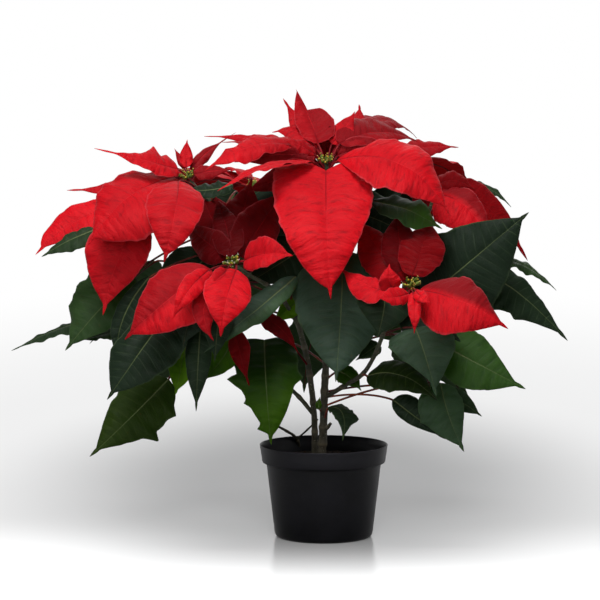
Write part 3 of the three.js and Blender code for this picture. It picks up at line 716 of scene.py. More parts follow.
def addBlade(name, row, kind):
    style = row["style"]
    rnd = random.Random(name)
    base, middle, tip = placed(row["base"]), placed(row["middle"]), placed(row["tip"])
    spine = (base, middle * 2 - (base + tip) / 2, tip)
    middleTangent = bezierTangent(*spine, 0.5)
    face = Vector(row["face"])
    middleNormal = (face - middleTangent * face.dot(middleTangent)).normalized()
    steps = bladeMake["lengthSteps"]
    length = sum((bezier(*spine, (i + 1) / steps) - bezier(*spine, i / steps)).length for i in range(steps))
    wide = max(row["halves"])
    phases = [rnd.uniform(0, 6.28) for _ in range(4)]
    drift = Vector((rnd.uniform(0, 90), rnd.uniform(0, 90), 0))
    seed = rnd.randrange(4, 60)

    def chance(x, y, z):  # a value from -1 to 1 that changes smoothly with the place
        return noise.noise(Vector((x, y, z)) + drift)

    def facing(t):  # the way that the blade runs at t, and the way that its upper face looks there
        tangent = bezierTangent(*spine, t)
        normal = middleNormal.copy()
        normal.rotate(middleTangent.rotation_difference(tangent))
        return tangent, normal

    def lift(x, t):  # how far the whole blade sways from its curve, and its tip hooks up
        scale = bladeMake["buckleScale"]
        bend = chance(x * scale, t * length * scale, 9) * style["buckle"]
        hook = style["hook"] * max(0, t - bladeMake["hookFrom"]) ** 2 * length
        return bend * math.sin(math.pi * t) * min(wide / bladeMake["buckleFull"], 2) + hook

    bm = bmesh.new()
    layers = keepLayers(bm, "veinPhase", "ribDistance", "alongShare", "marginShare", "tone")
    across = 2 * clamped(round(wide / bladeMake["acrossStep"]), *bladeMake["across"])
    along = clamped(round(length / bladeMake["alongStep"]), *bladeMake["along"])
    for v in addSkins(bm, across, along):
        s, t, height = v.co.x, (v.co.y + 1) / 2, v.co.z
        sign, hand, own = (-1, 0, style["left"]) if s < 0 else (1, 1, style["right"])
        tangent, normal = facing(t)
        half = row["halves"][hand]
        y = t * length
        ragged = chance(y * bladeMake["raggedScale"], sign * 7, 0) * style["ragged"]
        teeth = chance(y * bladeMake["fineRaggedScale"], sign * 7, 5)
        ragged += teeth * style["ragged"] * bladeMake["fineRagged"]
        tail = style["tailWidth"] * min(1, (1 - t) / style["tail"]) ** bladeMake["tailFall"]
        tail *= min(1, wide / bladeMake["tailFull"])
        width = max(bladeOutline(t, style, sign) * (1 + ragged) * half, tail + bladeMake["tipWidth"])
        x, far = s * width, abs(s)
        warp = chance(x * bladeMake["warpScale"], y * bladeMake["warpScale"], 0) * bladeMake["warp"]
        phase = (y - style["veinSlope"] * abs(x) - style["veinBend"] * x * x + warp) / style["veinGap"]
        rise = (style["fold"] - own.get("curl", style["curl"]) * far) * far * width
        rise += style["cup"] * max(0, 1 - t / bladeMake["cupEnd"]) * far**2 * width
        ripple = math.sin(6.28 * style["waves"] * t + phases[hand])
        fine = math.sin(6.28 * style["waves"] * bladeMake["fineWaves"] * t + phases[2 + hand])
        ripple += bladeMake["fineWave"] * fine
        rise += style["wave"] * ripple * far**2 * min(width / max(half, 1), 1)
        rise += lift(x, t)
        swell = abs(math.sin(math.pi * (phase - 0.5))) ** bladeMake["swellFall"]
        rise += style["quilt"] * swell * min(abs(x) / bladeMake["quiltFull"], 1) * (1 - far**4)
        crumple = chance(phase * bladeMake["crumpleAlong"], x * bladeMake["crumpleAcross"], sign)
        fine = chance(phase * bladeMake["fineAlong"], x * bladeMake["fineAcross"], sign + 4)
        crumple += bladeMake["fineCrumple"] * fine
        crumple *= style["crumple"]
        crumple *= min(abs(x) / bladeMake["crumpleFull"], 1)
        rise += crumple * min(width / bladeMake["crumpleWideFull"], 1)
        rise -= bladeMake["groove"] * math.exp(-((x / bladeMake["grooveWidth"]) ** 2)) * (1 - t)
        thick = style["thick"] * (1 - bladeMake["edgeThin"] * far**2) / 2
        v.co = (
            bezier(*spine, t) + tangent.cross(normal) * x + normal * (rise + height * thick)
            - tangent * (style["back"] * width * far * (1 - t))
        ) * mm
        v[layers["veinPhase"]] = phase + seed
        v[layers["ribDistance"]] = abs(x)
        v[layers["alongShare"]] = t
        v[layers["marginShare"]] = far if width > bladeMake["marginFull"] else 0.5
        # The tone of each half and towards the tip: partly the blade's own colour, partly painted shade on a
        # half or tip in shade and painted light on one that is lit.
        sideShare = min(abs(x) / bladeMake["toneFull"], 1)
        tipShare = clamped((t - bladeMake["tipToneFrom"]) / bladeMake["tipToneOver"])
        tone = style["tone"] + (own.get("tone", style["tone"]) - style["tone"]) * sideShare
        v[layers["tone"]] = tone + (style.get("tipTone", tone) - tone) * tipShare

    # the stalk, which runs on under the blade as its midrib
    foot = courses[row["stem"]].along(row["share"])
    arch = foot.lerp(base, stalkMake["archAt"])
    arch.z += stalkMake["archHeight"] * (base - foot).length
    stalk = (foot, arch, base)
    size = style["stalkRadius"]
    count = max(stalkMake["fewest"], round((base - foot).length / stalkMake["step"]))
    rings = []
    for i in range(count):
        rings.append((bezier(*stalk, i / count) * mm, bezierTangent(*stalk, i / count), size * mm))
    for i in range(stalkMake["ribSteps"] + 1):
        t = i / stalkMake["ribSteps"] * stalkMake["ribEnd"]
        tangent, normal = facing(t)
        radius = size * (stalkMake["ribFoot"] * (1 - t) ** stalkMake["ribFall"] + stalkMake["ribTip"])
        drop = radius * stalkMake["sink"] + bladeMake["groove"] * (1 - t)
        if i == 0:  # where the stalk turns into the midrib
            tangent = (bezierTangent(*stalk, 1) + tangent).normalized()
        rings.append(((bezier(*spine, t) + normal * (lift(0, t) - drop)) * mm, tangent, radius * mm))
    addTube(bm, rings, stalkMake["sides"], 2, side=middleTangent.cross(middleNormal))
    kind = style.get("kind", kind)
    slot = "red_bract" if kind == "bract" else "green_leaf"
    finishPiece(name, bm, kinds[kind], slot, shaded=style["shaded"])


bractRows = {
    "topBractFront": rowOf(
        "topBranch", 0.93, [2, 371, -16], [3, 313, -58], [7, 241, -66], (0, -1, 0.4), (47, 53), widest=0.29,
        taper=0.8, rise=0.3, back=0.75, cup=0.25, tone=0.85, tipTone=1.0, wave=1.8, quilt=0.3, crumple=1.1,
        buckle=1.2, left={"taper": 0.9}, right={"taper": 0.68}),
    "topBractRight": rowOf(
        "topBranch", 0.945, [13, 381, -8], [78, 377, -36], [127, 325, -36], (0.15, -0.7, 0.7), (34, 37),
        tone=0.88, widest=0.46, taper=0.85, rise=0.5, quilt=0.22, wave=2.2, right={"rise": 1.0}),
    "topBractLeft": rowOf(
        "topBranch", 0.955, [-14, 392, -8], [-66, 397, -22], [-119, 371, -34], (0, -0.6, 0.8), (15, 18),
        tone=0.4, tipTone=0.85, curl=0.55, wave=2.4, lobes=((1, 0.45, 0.3, 0.14), (1, 0.75, 0.3, 0.1)),
        left={"widest": 0.62, "rise": 1.3, "taper": 0.8}),
    "topBractLowLeft": rowOf(
        "topBranch", 0.94, [-12, 380, -16], [-60, 374, -44], [-107, 350, -60], (0, -0.15, 1), (11, 22),
        tone=0.9, wave=1.6, curl=0.5, left={"curl": 0.2}),
    "topBractFarRight": rowOf(
        "topBranch", 0.965, [16, 398, 2], [55, 409, 20], [94, 400, 42], (0, -0.7, 0.7), (26, 15), tone=0.0,
        right={"tone": 0.25}),
    "topBractUpper": rowOf(
        "topBranch", 0.98, [-6, 398, 4], [-13, 420, 18], [-28, 452, 26], (0.1, -1, 0.2), (16, 21.5),
        tail=0.25, tailWidth=1.6, tone=0.12, curl=0.1, buckle=2,
        left={"widest": 0.5, "taper": 0.8, "tail": 0.03, "tone": 0.4},
        right={"widest": 0.4, "taper": 0.28, "tail": 0.32, "rise": 0.35}),
    "topBractBehind": rowOf(
        "topBranch", 0.97, [4, 390, 12], [10, 400, 52], [16, 386, 98], (0, 0.3, 1), (22, 30), tone=0.6),
    "leftBractUpper": rowOf(
        "sideStem", 0.985, [-146, 372, -12], [-184, 382, -24], [-230, 393, -28], (0, -0.6, 0.8), (15, 17),
        widest=0.24, taper=1.5, rise=0.35, tail=0.14, tone=0.85,
        lobes=((1, 0.31, 0.75, 0.12), (1, 0.12, 0.35, 0.12))),
    "leftBractOuter": rowOf(
        "sideStem", 0.975, [-150, 364, -8], [-197, 343, -38], [-237, 296, -44], (-0.35, -0.8, 0.5), (47, 36),
        widest=0.45, taper=0.9, tone=0.75, quilt=0.3, wave=2,
        left={"widest": 0.52, "taper": 0.62, "rise": 0.5, "curl": 0.55}),
    "leftBractFront": rowOf(
        "sideStem", 0.965, [-146, 360, -26], [-150, 326, -64], [-161, 278, -68], (0, -1, 0.3), (27, 30),
        widest=0.36, taper=0.8, rise=0.45, tone=0.65),
    "leftBractLower": rowOf(
        "sideStem", 0.93, [-182, 322, -14], [-208, 278, -30], [-221, 226, -30], (-0.2, -1, 0.2), (26, 39),
        widest=0.38, taper=1.0, tone=0.65, hook=0.5),
    "leftBractFar": rowOf(
        "sideStem", 0.945, [-172, 342, 4], [-238, 325, 4], [-290, 286, -4], (-0.1, -0.8, 0.6), (20, 19),
        widest=0.5, tone=0.95, right={"widest": 0.62, "taper": 0.6, "rise": 0.8}),
    "leftBractBehind": rowOf(
        "sideStem", 0.955, [-138, 368, 6], [-150, 370, 50], [-172, 346, 92], (0, 0.2, 1), (28, 28),
        tone=0.5),
    "lowLeftBractOuter": rowOf(
        "lowerLeftBranch", 0.88, [-114, 271, -78], [-160, 238, -96], [-201, 200, -90], (-0.2, -0.9, 0.4),
        (35, 31), tone=0.3, quilt=0.22, left={"tone": 0.85}),
    "lowLeftBractFront": rowOf(
        "lowerLeftBranch", 0.92, [-88, 271, -88], [-98, 240, -116], [-104, 203, -118], (0.1, -1, 0.3),
        (22, 24), taper=1.1, tone=0.95),
    "lowLeftBractRight": rowOf(
        "lowerLeftBranch", 0.96, [-80, 280, -75], [-58, 287, -92], [-31, 285, -98], (0.1, -0.9, 0.4),
        (18, 17), fold=0.5, tone=0.75),
    "lowLeftBractUpper": rowOf(
        "lowerLeftBranch", 0.985, [-94, 285, -68], [-98, 314, -38], [-110, 347, -12], (0, -1, 0.1), (16, 15),
        tone=0.0, shaded=True),
    "lowRightBractUpper": rowOf(
        "lowerRightBranch", 0.98, [89, 265, -68], [98, 291, -42], [107, 322, -18], (-0.1, -1, 0.1), (22, 23),
        widest=0.55, taper=0.8, tone=0.9, shaded=True),
    "lowRightBractLeft": rowOf(
        "lowerRightBranch", 0.96, [80, 260, -62], [56, 291, -28], [33, 323, -6], (0.2, -1, 0.1), (24, 21),
        tone=0.7, shaded=True),
    "lowRightBractStrip": rowOf(
        "lowerRightBranch", 0.93, [64, 250, -76], [42, 256, -66], [17, 272, -48], (0, -0.8, 0.5), (18, 11),
        tone=0.85),
    "lowRightBractOuter": rowOf(
        "lowerRightBranch", 0.945, [96, 250, -80], [142, 238, -104], [186, 211, -100], (0.1, -0.85, 0.5),
        (32, 35), fold=0, tone=0.85, left={"tone": 0.0, "widest": 0.27}),
    "rightBractFront": rowOf(
        "rightBranch", 0.97, [114, 346, 14], [143, 334, -2], [170, 294, -6], (0.1, -0.9, 0.4), (19, 31),
        tone=0.85, left={"tone": 0.0}, right={"taper": 0.75}),
    "rightBractOuter": rowOf(
        "rightBranch", 0.95, [118, 350, 22], [162, 336, 22], [205, 280, 16], (0.2, -0.8, 0.5), (20, 22),
        taper=1.0, tone=0.9, shaded=True),
}
leafRows = {
    "leafFront": rowOf(
        "topBranch", 0.45, [19, 290, -16], [17, 225, -40], [12, 157, -52], (0, -0.95, 0.3), (45, 48),
        tone=0.5, fold=0.15, widest=0.3, taper=0.75, kind="cool"),
    "leafUnderTop": rowOf(
        "topBranch", 0.8, [48, 340, -12], [83, 331, -24], [119, 312, -26], (0, -0.6, 0.8), (20, 18),
        tone=0.2, tipTone=1.0, widest=0.6, wave=2.4, waves=2.5),
    "leafRightHigh": rowOf(
        "rightBranch", 0.62, [103, 242, -8], [149, 281, -20], [206, 329, -18], (0, -1, 0.2), (39, 44),
        widest=0.42, taper=1.0, tone=0.0, tail=0.05, lobes=((-1, 0.4, 0.15, 0.1), (1, 0.4, 0.15, 0.1))),
    "leafRightOuter": rowOf(
        "rightBranch", 0.5, [168, 264, 8], [204, 241, 0], [246, 199, 0], (0.1, -0.8, 0.5), (18, 27),
        tone=0.1, widest=0.2, rise=0.3, lobes=((1, 0.3, 0.2, 0.08), (1, 0.55, 0.2, 0.08))),
    "leafLowRightTop": rowOf(
        "lowerRightBranch", 0.75, [62, 250, -56], [60, 228, -62], [54, 202, -66], (0, -1, 0.3), (28, 28),
        widest=0.3, taper=1.0, tone=0.1),
    "leafLowRightFront": rowOf(
        "lowerRightBranch", 0.6, [92, 212, -60], [102, 185, -74], [114, 142, -78], (0, -1, 0.3), (33, 31),
        tone=0.7, right={"widest": 0.2, "rise": 0.3, "taper": 1.5}, kind="cool"),
    "leafLowRightOuter": rowOf(
        "rightBranch", 0.3, [120, 195, -34], [160, 173, -46], [204, 150, -48], (0, -0.9, 0.4), (30, 29),
        tone=0.85, left={"widest": 0.24, "rise": 0.4, "taper": 1.3}, right={"taper": 1.1}),
    "leafLowRightDark": rowOf(
        "lowerRightBranch", 0.28, [44, 163, -28], [79, 163, -42], [115, 138, -52], (0, -0.7, 0.7), (22, 22),
        tone=0.0, kind="olive"),
    "leafLowRightHanging": rowOf(
        "mainStem", 0.52, [118, 156, -22], [126, 124, -30], [142, 86, -30], (0, -1, 0.3), (18, 27), tone=0.9,
        lobes=((1, 0.5, 0.15, 0.08),), kind="cool"),
    "leafLeftHigh": rowOf(
        "sideStem", 0.8, [-192, 266, 8], [-227, 229, -6], [-261, 189, -8], (-0.2, -0.9, 0.4), (24, 37),
        tone=0.6, lobes=((1, 0.45, 0.08, 0.07), (1, 0.66, 0.12, 0.08)), wave=2.2),
    "leafLeftFar": rowOf(
        "sideStem", 0.66, [-232, 221, 26], [-273, 208, 22], [-315, 189, 16], (0, -0.2, 1), (16, 10),
        tone=0.3),
    "leafLeftFront": rowOf(
        "lowerLeftBranch", 0.5, [-150, 238, -50], [-185, 188, -72], [-219, 139, -76], (-0.2, -0.9, 0.3),
        (35, 28), tone=0.0, right={"widest": 0.55, "taper": 0.9}),
    "leafLeftLow": rowOf(
        "lowBranch", 0.93, [-157, 160, -26], [-195, 121, -44], [-237, 81, -48], (-0.1, -1, 0.3), (28, 28),
        tone=0.3, lobes=((-1, 0.24, 0.2, 0.07), (-1, 0.5, 0.4, 0.07), (1, 0.33, 0.15, 0.1)),
        left={"taper": 1.2}, kind="olive"),
    "leafLeftHanging": rowOf(
        "lowerLeftBranch", 0.62, [-124, 218, -54], [-127, 175, -60], [-129, 127, -60], (0.1, -1, 0.2),
        (13, 13), tone=0.1),
    "leafFolded": rowOf(
        "sideStem", 0.5, [-28, 264, -22], [-72, 227, -54], [-121, 187, -74], (-0.1, -0.8, 0.6), (14, 15),
        tone=0.35, left={"tone": 1.0}, kind="cool"),
    "leafLowLeft": rowOf(
        "lowBranch", 0.3, [-60, 200, -8], [-58, 150, -40], [-53, 93, -44], (0, -1, 0.3), (33, 30), tone=0.2,
        tipTone=1.0, kind="young", rise=0.25, back=0.4, widest=0.25, wave=2.4, left={"taper": 0.7},
        lobes=((1, 0.1, 0.25, 0.06), (1, 0.28, 0.15, 0.05), (1, 0.46, 0.45, 0.07), (1, 0.64, 0.15, 0.04),
            (1, 0.86, 0.25, 0.05), (-1, 0.45, 0.2, 0.08))),
    "leafByStem": rowOf(
        "mainStem", 0.37, [5, 132, -6], [19, 124, -18], [19, 97, -26], (0.3, -0.8, 0.5), (13, 10), tone=0.25,
        lobes=((-1, 0.62, 0.55, 0.14),)),
    "leafBackRight": rowOf(
        "backBranch", 0.45, [110, 280, 80], [150, 262, 110], [200, 225, 120], (0.2, 0.6, 0.8), (30, 30),
        tone=0.4),
    "leafBackLeft": rowOf(
        "backLeftBranch", 0.4, [-170, 280, 70], [-206, 250, 100], [-238, 212, 104], (-0.2, 0.6, 0.8),
        (26, 26), tone=0.4),
}
for rowName, row in bractRows.items():
    addBlade(rowName, row, "bract")
for rowName, row in leafRows.items():
    addBlade(rowName, row, "leaf")
print("leaves and bracts ready")


# The small bracts close round each flower centre, the tips that show past the big ones, and the bracts of the
# two heads at the back. Most Shade bracts are set dark by a low tone: painted shade that fills shaded gaps.
smallBractRows = {
    "topSmallBractLeft": rowOf(
        "topBranch", 0.985, [-8, 393, 6], [-28, 409, 16], [-52, 409, 24], (0, -0.6, 0.8), (13, 15),
        tone=0.55),
    "topSmallBractRight": rowOf(
        "topBranch", 0.985, [8, 398, 6], [20, 412, 12], [31, 430, 16], (-0.2, -1, 0.3), (12, 11), tone=0.7,
        stalkRadius=0.8),
    "topSmallBractLeftTip": rowOf(
        "topBranch", 0.975, [-9, 398, 10], [-24, 418, 22], [-41, 443, 34], (0.1, -1, 0.4), (13, 9),
        taper=1.5, tone=0.5, stalkRadius=0.8),
    "topSmallBractLow": rowOf(
        "topBranch", 0.97, [-9, 387, -8], [-24, 396, -14], [-40, 401, -18], (0, -0.8, 0.6), (7, 8),
        tone=0.35, stalkRadius=0.7),
    "topSmallBractRightTip": rowOf(
        "topBranch", 0.97, [14, 398, 12], [32, 418, 36], [35, 437, 50], (0, -0.8, 0.6), (13, 12), taper=1.5,
        tone=0.45, stalkRadius=0.8),
    "topShadeBract": rowOf(
        "topBranch", 0.95, [-8, 385, 2], [-44, 387, 0], [-90, 379, -4], (0, -1, 0.2), (15, 13), tone=0.0,
        rise=0.25),
    "topShadeBractLow": rowOf(
        "topBranch", 0.93, [-6, 378, 8], [-42, 364, 10], [-82, 348, 12], (0, -1, 0.2), (14, 14), tone=0.0,
        rise=0.3, shaded=True),
    "topShadeBractMiddle": rowOf(
        "topBranch", 0.975, [3, 380, 10], [4, 398, 10], [6, 416, 12], (0, -1, 0.1), (14, 14), tone=0.0,
        rise=0.2, shaded=True),
    "topShadeBractRight": rowOf(
        "topBranch", 0.955, [14, 386, 2], [44, 392, 6], [76, 384, 10], (0, -1, 0.2), (14, 14), tone=0.0),
    "topRightBehind": rowOf(
        "topBranch", 0.965, [20, 400, 20], [60, 421, 52], [93, 403, 84], (0.1, -0.6, 0.8), (15, 15),
        tone=0.05),
    "topFarBract": rowOf(
        "topBranch", 0.965, [-10, 388, 6], [-52, 399, 34], [-102, 399, 62], (0, -0.3, 1), (22, 14),
        tone=0.4),
    "topFarTip": rowOf(
        "topBranch", 0.96, [-14, 392, 4], [-66, 402, 24], [-120, 405, 40], (0, -0.6, 0.8), (11, 10),
        taper=1.5, tone=0.6, stalkRadius=0.8),
    "leftFarTip": rowOf(
        "sideStem", 0.94, [-160, 352, 14], [-208, 352, 30], [-258, 351, 30], (0, -0.7, 0.7), (13, 13),
        taper=1.6, tone=0.6, stalkRadius=0.8),
    "leftSmallBractBright": rowOf(
        "sideStem", 0.985, [-138, 374, 2], [-138, 387, 6], [-137, 402, 8], (0, -1, 0.2), (7, 7), tone=0.8,
        stalkRadius=0.7),
    "leftSmallBractDark": rowOf(
        "sideStem", 0.98, [-133, 371, 6], [-117, 389, 16], [-88, 409, 22], (0.1, -0.9, 0.4), (6, 7),
        taper=1.5, tail=0.2, tone=0.0, stalkRadius=0.7),
    "leftSmallBractLow": rowOf(
        "sideStem", 0.98, [-130, 367, -2], [-114, 370, 2], [-92, 372, 4], (0.1, -0.8, 0.6), (9, 9),
        tone=0.05, stalkRadius=0.7),
    "leftSmallBractThin": rowOf(
        "sideStem", 0.985, [-140, 373, 6], [-144, 382, 10], [-150, 393, 12], (0, -1, 0.3), (4, 4), tone=0.2,
        stalkRadius=0.6),
    "lowLeftSmallBractBright": rowOf(
        "lowerLeftBranch", 0.9, [-116, 270, -92], [-136, 250, -112], [-153, 220, -112], (0.2, -1, 0.3),
        (11, 11), tone=0.95, stalkRadius=0.8),
    "lowLeftSmallBractDark": rowOf(
        "lowerLeftBranch", 0.91, [-108, 262, -88], [-121, 230, -104], [-111, 199, -104], (0.2, -1, 0.3),
        (13, 12), tone=0.4, stalkRadius=0.8),
    "lowLeftSmallBractInner": rowOf(
        "lowerLeftBranch", 0.97, [-97, 271, -92], [-105, 263, -104], [-113, 256, -108], (0.2, -1, 0.3),
        (9, 9), tone=0.6, stalkRadius=0.7),
    "lowLeftShadeBractLeft": rowOf(
        "lowerLeftBranch", 0.97, [-98, 283, -62], [-118, 299, -42], [-141, 318, -14], (0, -1, 0.1), (17, 17),
        tone=0.1, shaded=True),
    "lowLeftShadeBractRight": rowOf(
        "lowerLeftBranch", 0.95, [-84, 285, -56], [-62, 318, -30], [-38, 352, -6], (0.1, -1, 0), (24, 22),
        tone=0.1, shaded=True),
    "lowLeftShadeBractTall": rowOf(
        "lowerLeftBranch", 0.94, [-89, 287, -52], [-82, 324, -18], [-72, 364, 2], (0, -1, 0), (24, 24),
        tone=0.1, shaded=True),
    "lowLeftShadeBractWide": rowOf(
        "lowerLeftBranch", 0.9, [-90, 290, -44], [-112, 322, -10], [-124, 356, 4], (0, -1, 0), (26, 26),
        tone=0.1, shaded=True),
    "lowRightSmallBractUp": rowOf(
        "lowerRightBranch", 0.975, [70, 249, -84], [66, 261, -92], [66, 277, -90], (0, -1, 0.2), (11, 11),
        tone=0.9, stalkRadius=0.7),
    "lowRightSmallBractLeft": rowOf(
        "lowerRightBranch", 0.96, [86, 247, -86], [70, 243, -102], [54, 243, -108], (0, -0.9, 0.4), (9, 11),
        tone=0.95, stalkRadius=0.7),
    "lowRightSmallBractDown": rowOf(
        "lowerRightBranch", 0.955, [90, 248, -90], [92, 228, -108], [91, 206, -110], (0, -1, 0.3), (6, 7),
        tone=0.85, stalkRadius=0.7),
    "lowRightSmallBractInner": rowOf(
        "lowerRightBranch", 0.98, [92, 250, -90], [99, 243, -104], [108, 237, -108], (0, -1, 0.3), (6, 6),
        tone=0.9, stalkRadius=0.6),
    "lowRightShadeBract": rowOf(
        "lowerRightBranch", 0.93, [84, 268, -54], [76, 300, -34], [74, 330, -16], (0, -1, 0.1), (20, 20),
        tone=0.15, shaded=True),
    "rightShadeBract": rowOf(
        "rightBranch", 0.96, [110, 353, 24], [128, 361, 18], [152, 351, 12], (0, -0.8, 0.6), (13, 13),
        tone=0.6, shaded=True),
    "rightBractBehind": rowOf(
        "rightBranch", 0.96, [120, 356, 34], [150, 352, 66], [182, 322, 84], (0.2, 0.3, 1), (24, 24),
        tone=0.5),
    "rightBractInner": rowOf(
        "rightBranch", 0.98, [104, 352, 20], [92, 352, 40], [84, 332, 58], (-0.2, 0.2, 1), (20, 20),
        tone=0.5),
    "hangingShadeBract": rowOf(
        "lowBranch", 0.5, [-88, 210, -52], [-84, 184, -60], [-75, 153, -62], (0.1, -1, 0.2), (11, 10),
        tone=0.35, taper=1.5, shaded=True),
    "archingShadeBract": rowOf(
        "sideStem", 0.3, [-64, 222, -30], [-44, 212, -34], [-26, 187, -34], (0.1, -1, 0.4), (9, 10),
        tone=0.1, shaded=True),
    "backRightBractFront": rowOf(
        "backBranch", 0.985, [76, 388, 80], [104, 394, 88], [135, 394, 96], (0.1, -0.6, 0.7), (14, 14),
        taper=1.3, tone=0.3),
    "backRightBractBehind": rowOf(
        "backBranch", 0.98, [60, 384, 94], [66, 388, 138], [84, 356, 170], (0, 0.6, 0.8), (30, 30),
        tone=0.7),
    "backRightBractLeft": rowOf(
        "backBranch", 0.975, [54, 382, 92], [22, 390, 118], [-16, 366, 142], (0, 0.5, 0.9), (26, 26),
        tone=0.6),
    "backRightBractRight": rowOf(
        "backBranch", 0.97, [76, 376, 90], [116, 376, 124], [148, 340, 142], (0.2, 0.5, 0.9), (29, 29),
        tone=0.75),
    "backRightBractLow": rowOf(
        "backBranch", 0.955, [66, 376, 96], [92, 360, 140], [110, 312, 164], (0.2, 0.9, 0.5), (24, 24),
        tone=0.5),
    "backRightBractInner": rowOf(
        "backBranch", 0.99, [60, 390, 88], [48, 396, 108], [40, 386, 132], (0, 0.5, 0.9), (12, 12), tone=0.8,
        stalkRadius=0.8),
    "backLeftBractBehind": rowOf(
        "backLeftBranch", 0.98, [-74, 360, 96], [-90, 362, 138], [-110, 328, 164], (0, 0.6, 0.8), (29, 29),
        tone=0.7),
    "backLeftBractLeft": rowOf(
        "backLeftBranch", 0.975, [-82, 358, 90], [-126, 360, 112], [-168, 326, 124], (-0.2, 0.5, 0.9),
        (28, 28), tone=0.6),
    "backLeftBractRight": rowOf(
        "backLeftBranch", 0.97, [-62, 358, 96], [-36, 362, 134], [-6, 332, 158], (0.1, 0.6, 0.8), (27, 27),
        tone=0.65),
    "backLeftBractLow": rowOf(
        "backLeftBranch", 0.955, [-70, 350, 98], [-66, 332, 140], [-62, 290, 158], (0, 0.9, 0.5), (22, 22),
        tone=0.5),
    "backLeftBractInner": rowOf(
        "backLeftBranch", 0.99, [-76, 364, 92], [-88, 372, 108], [-104, 370, 128], (-0.1, 0.5, 0.9),
        (12, 12), tone=0.8, stalkRadius=0.8),
}
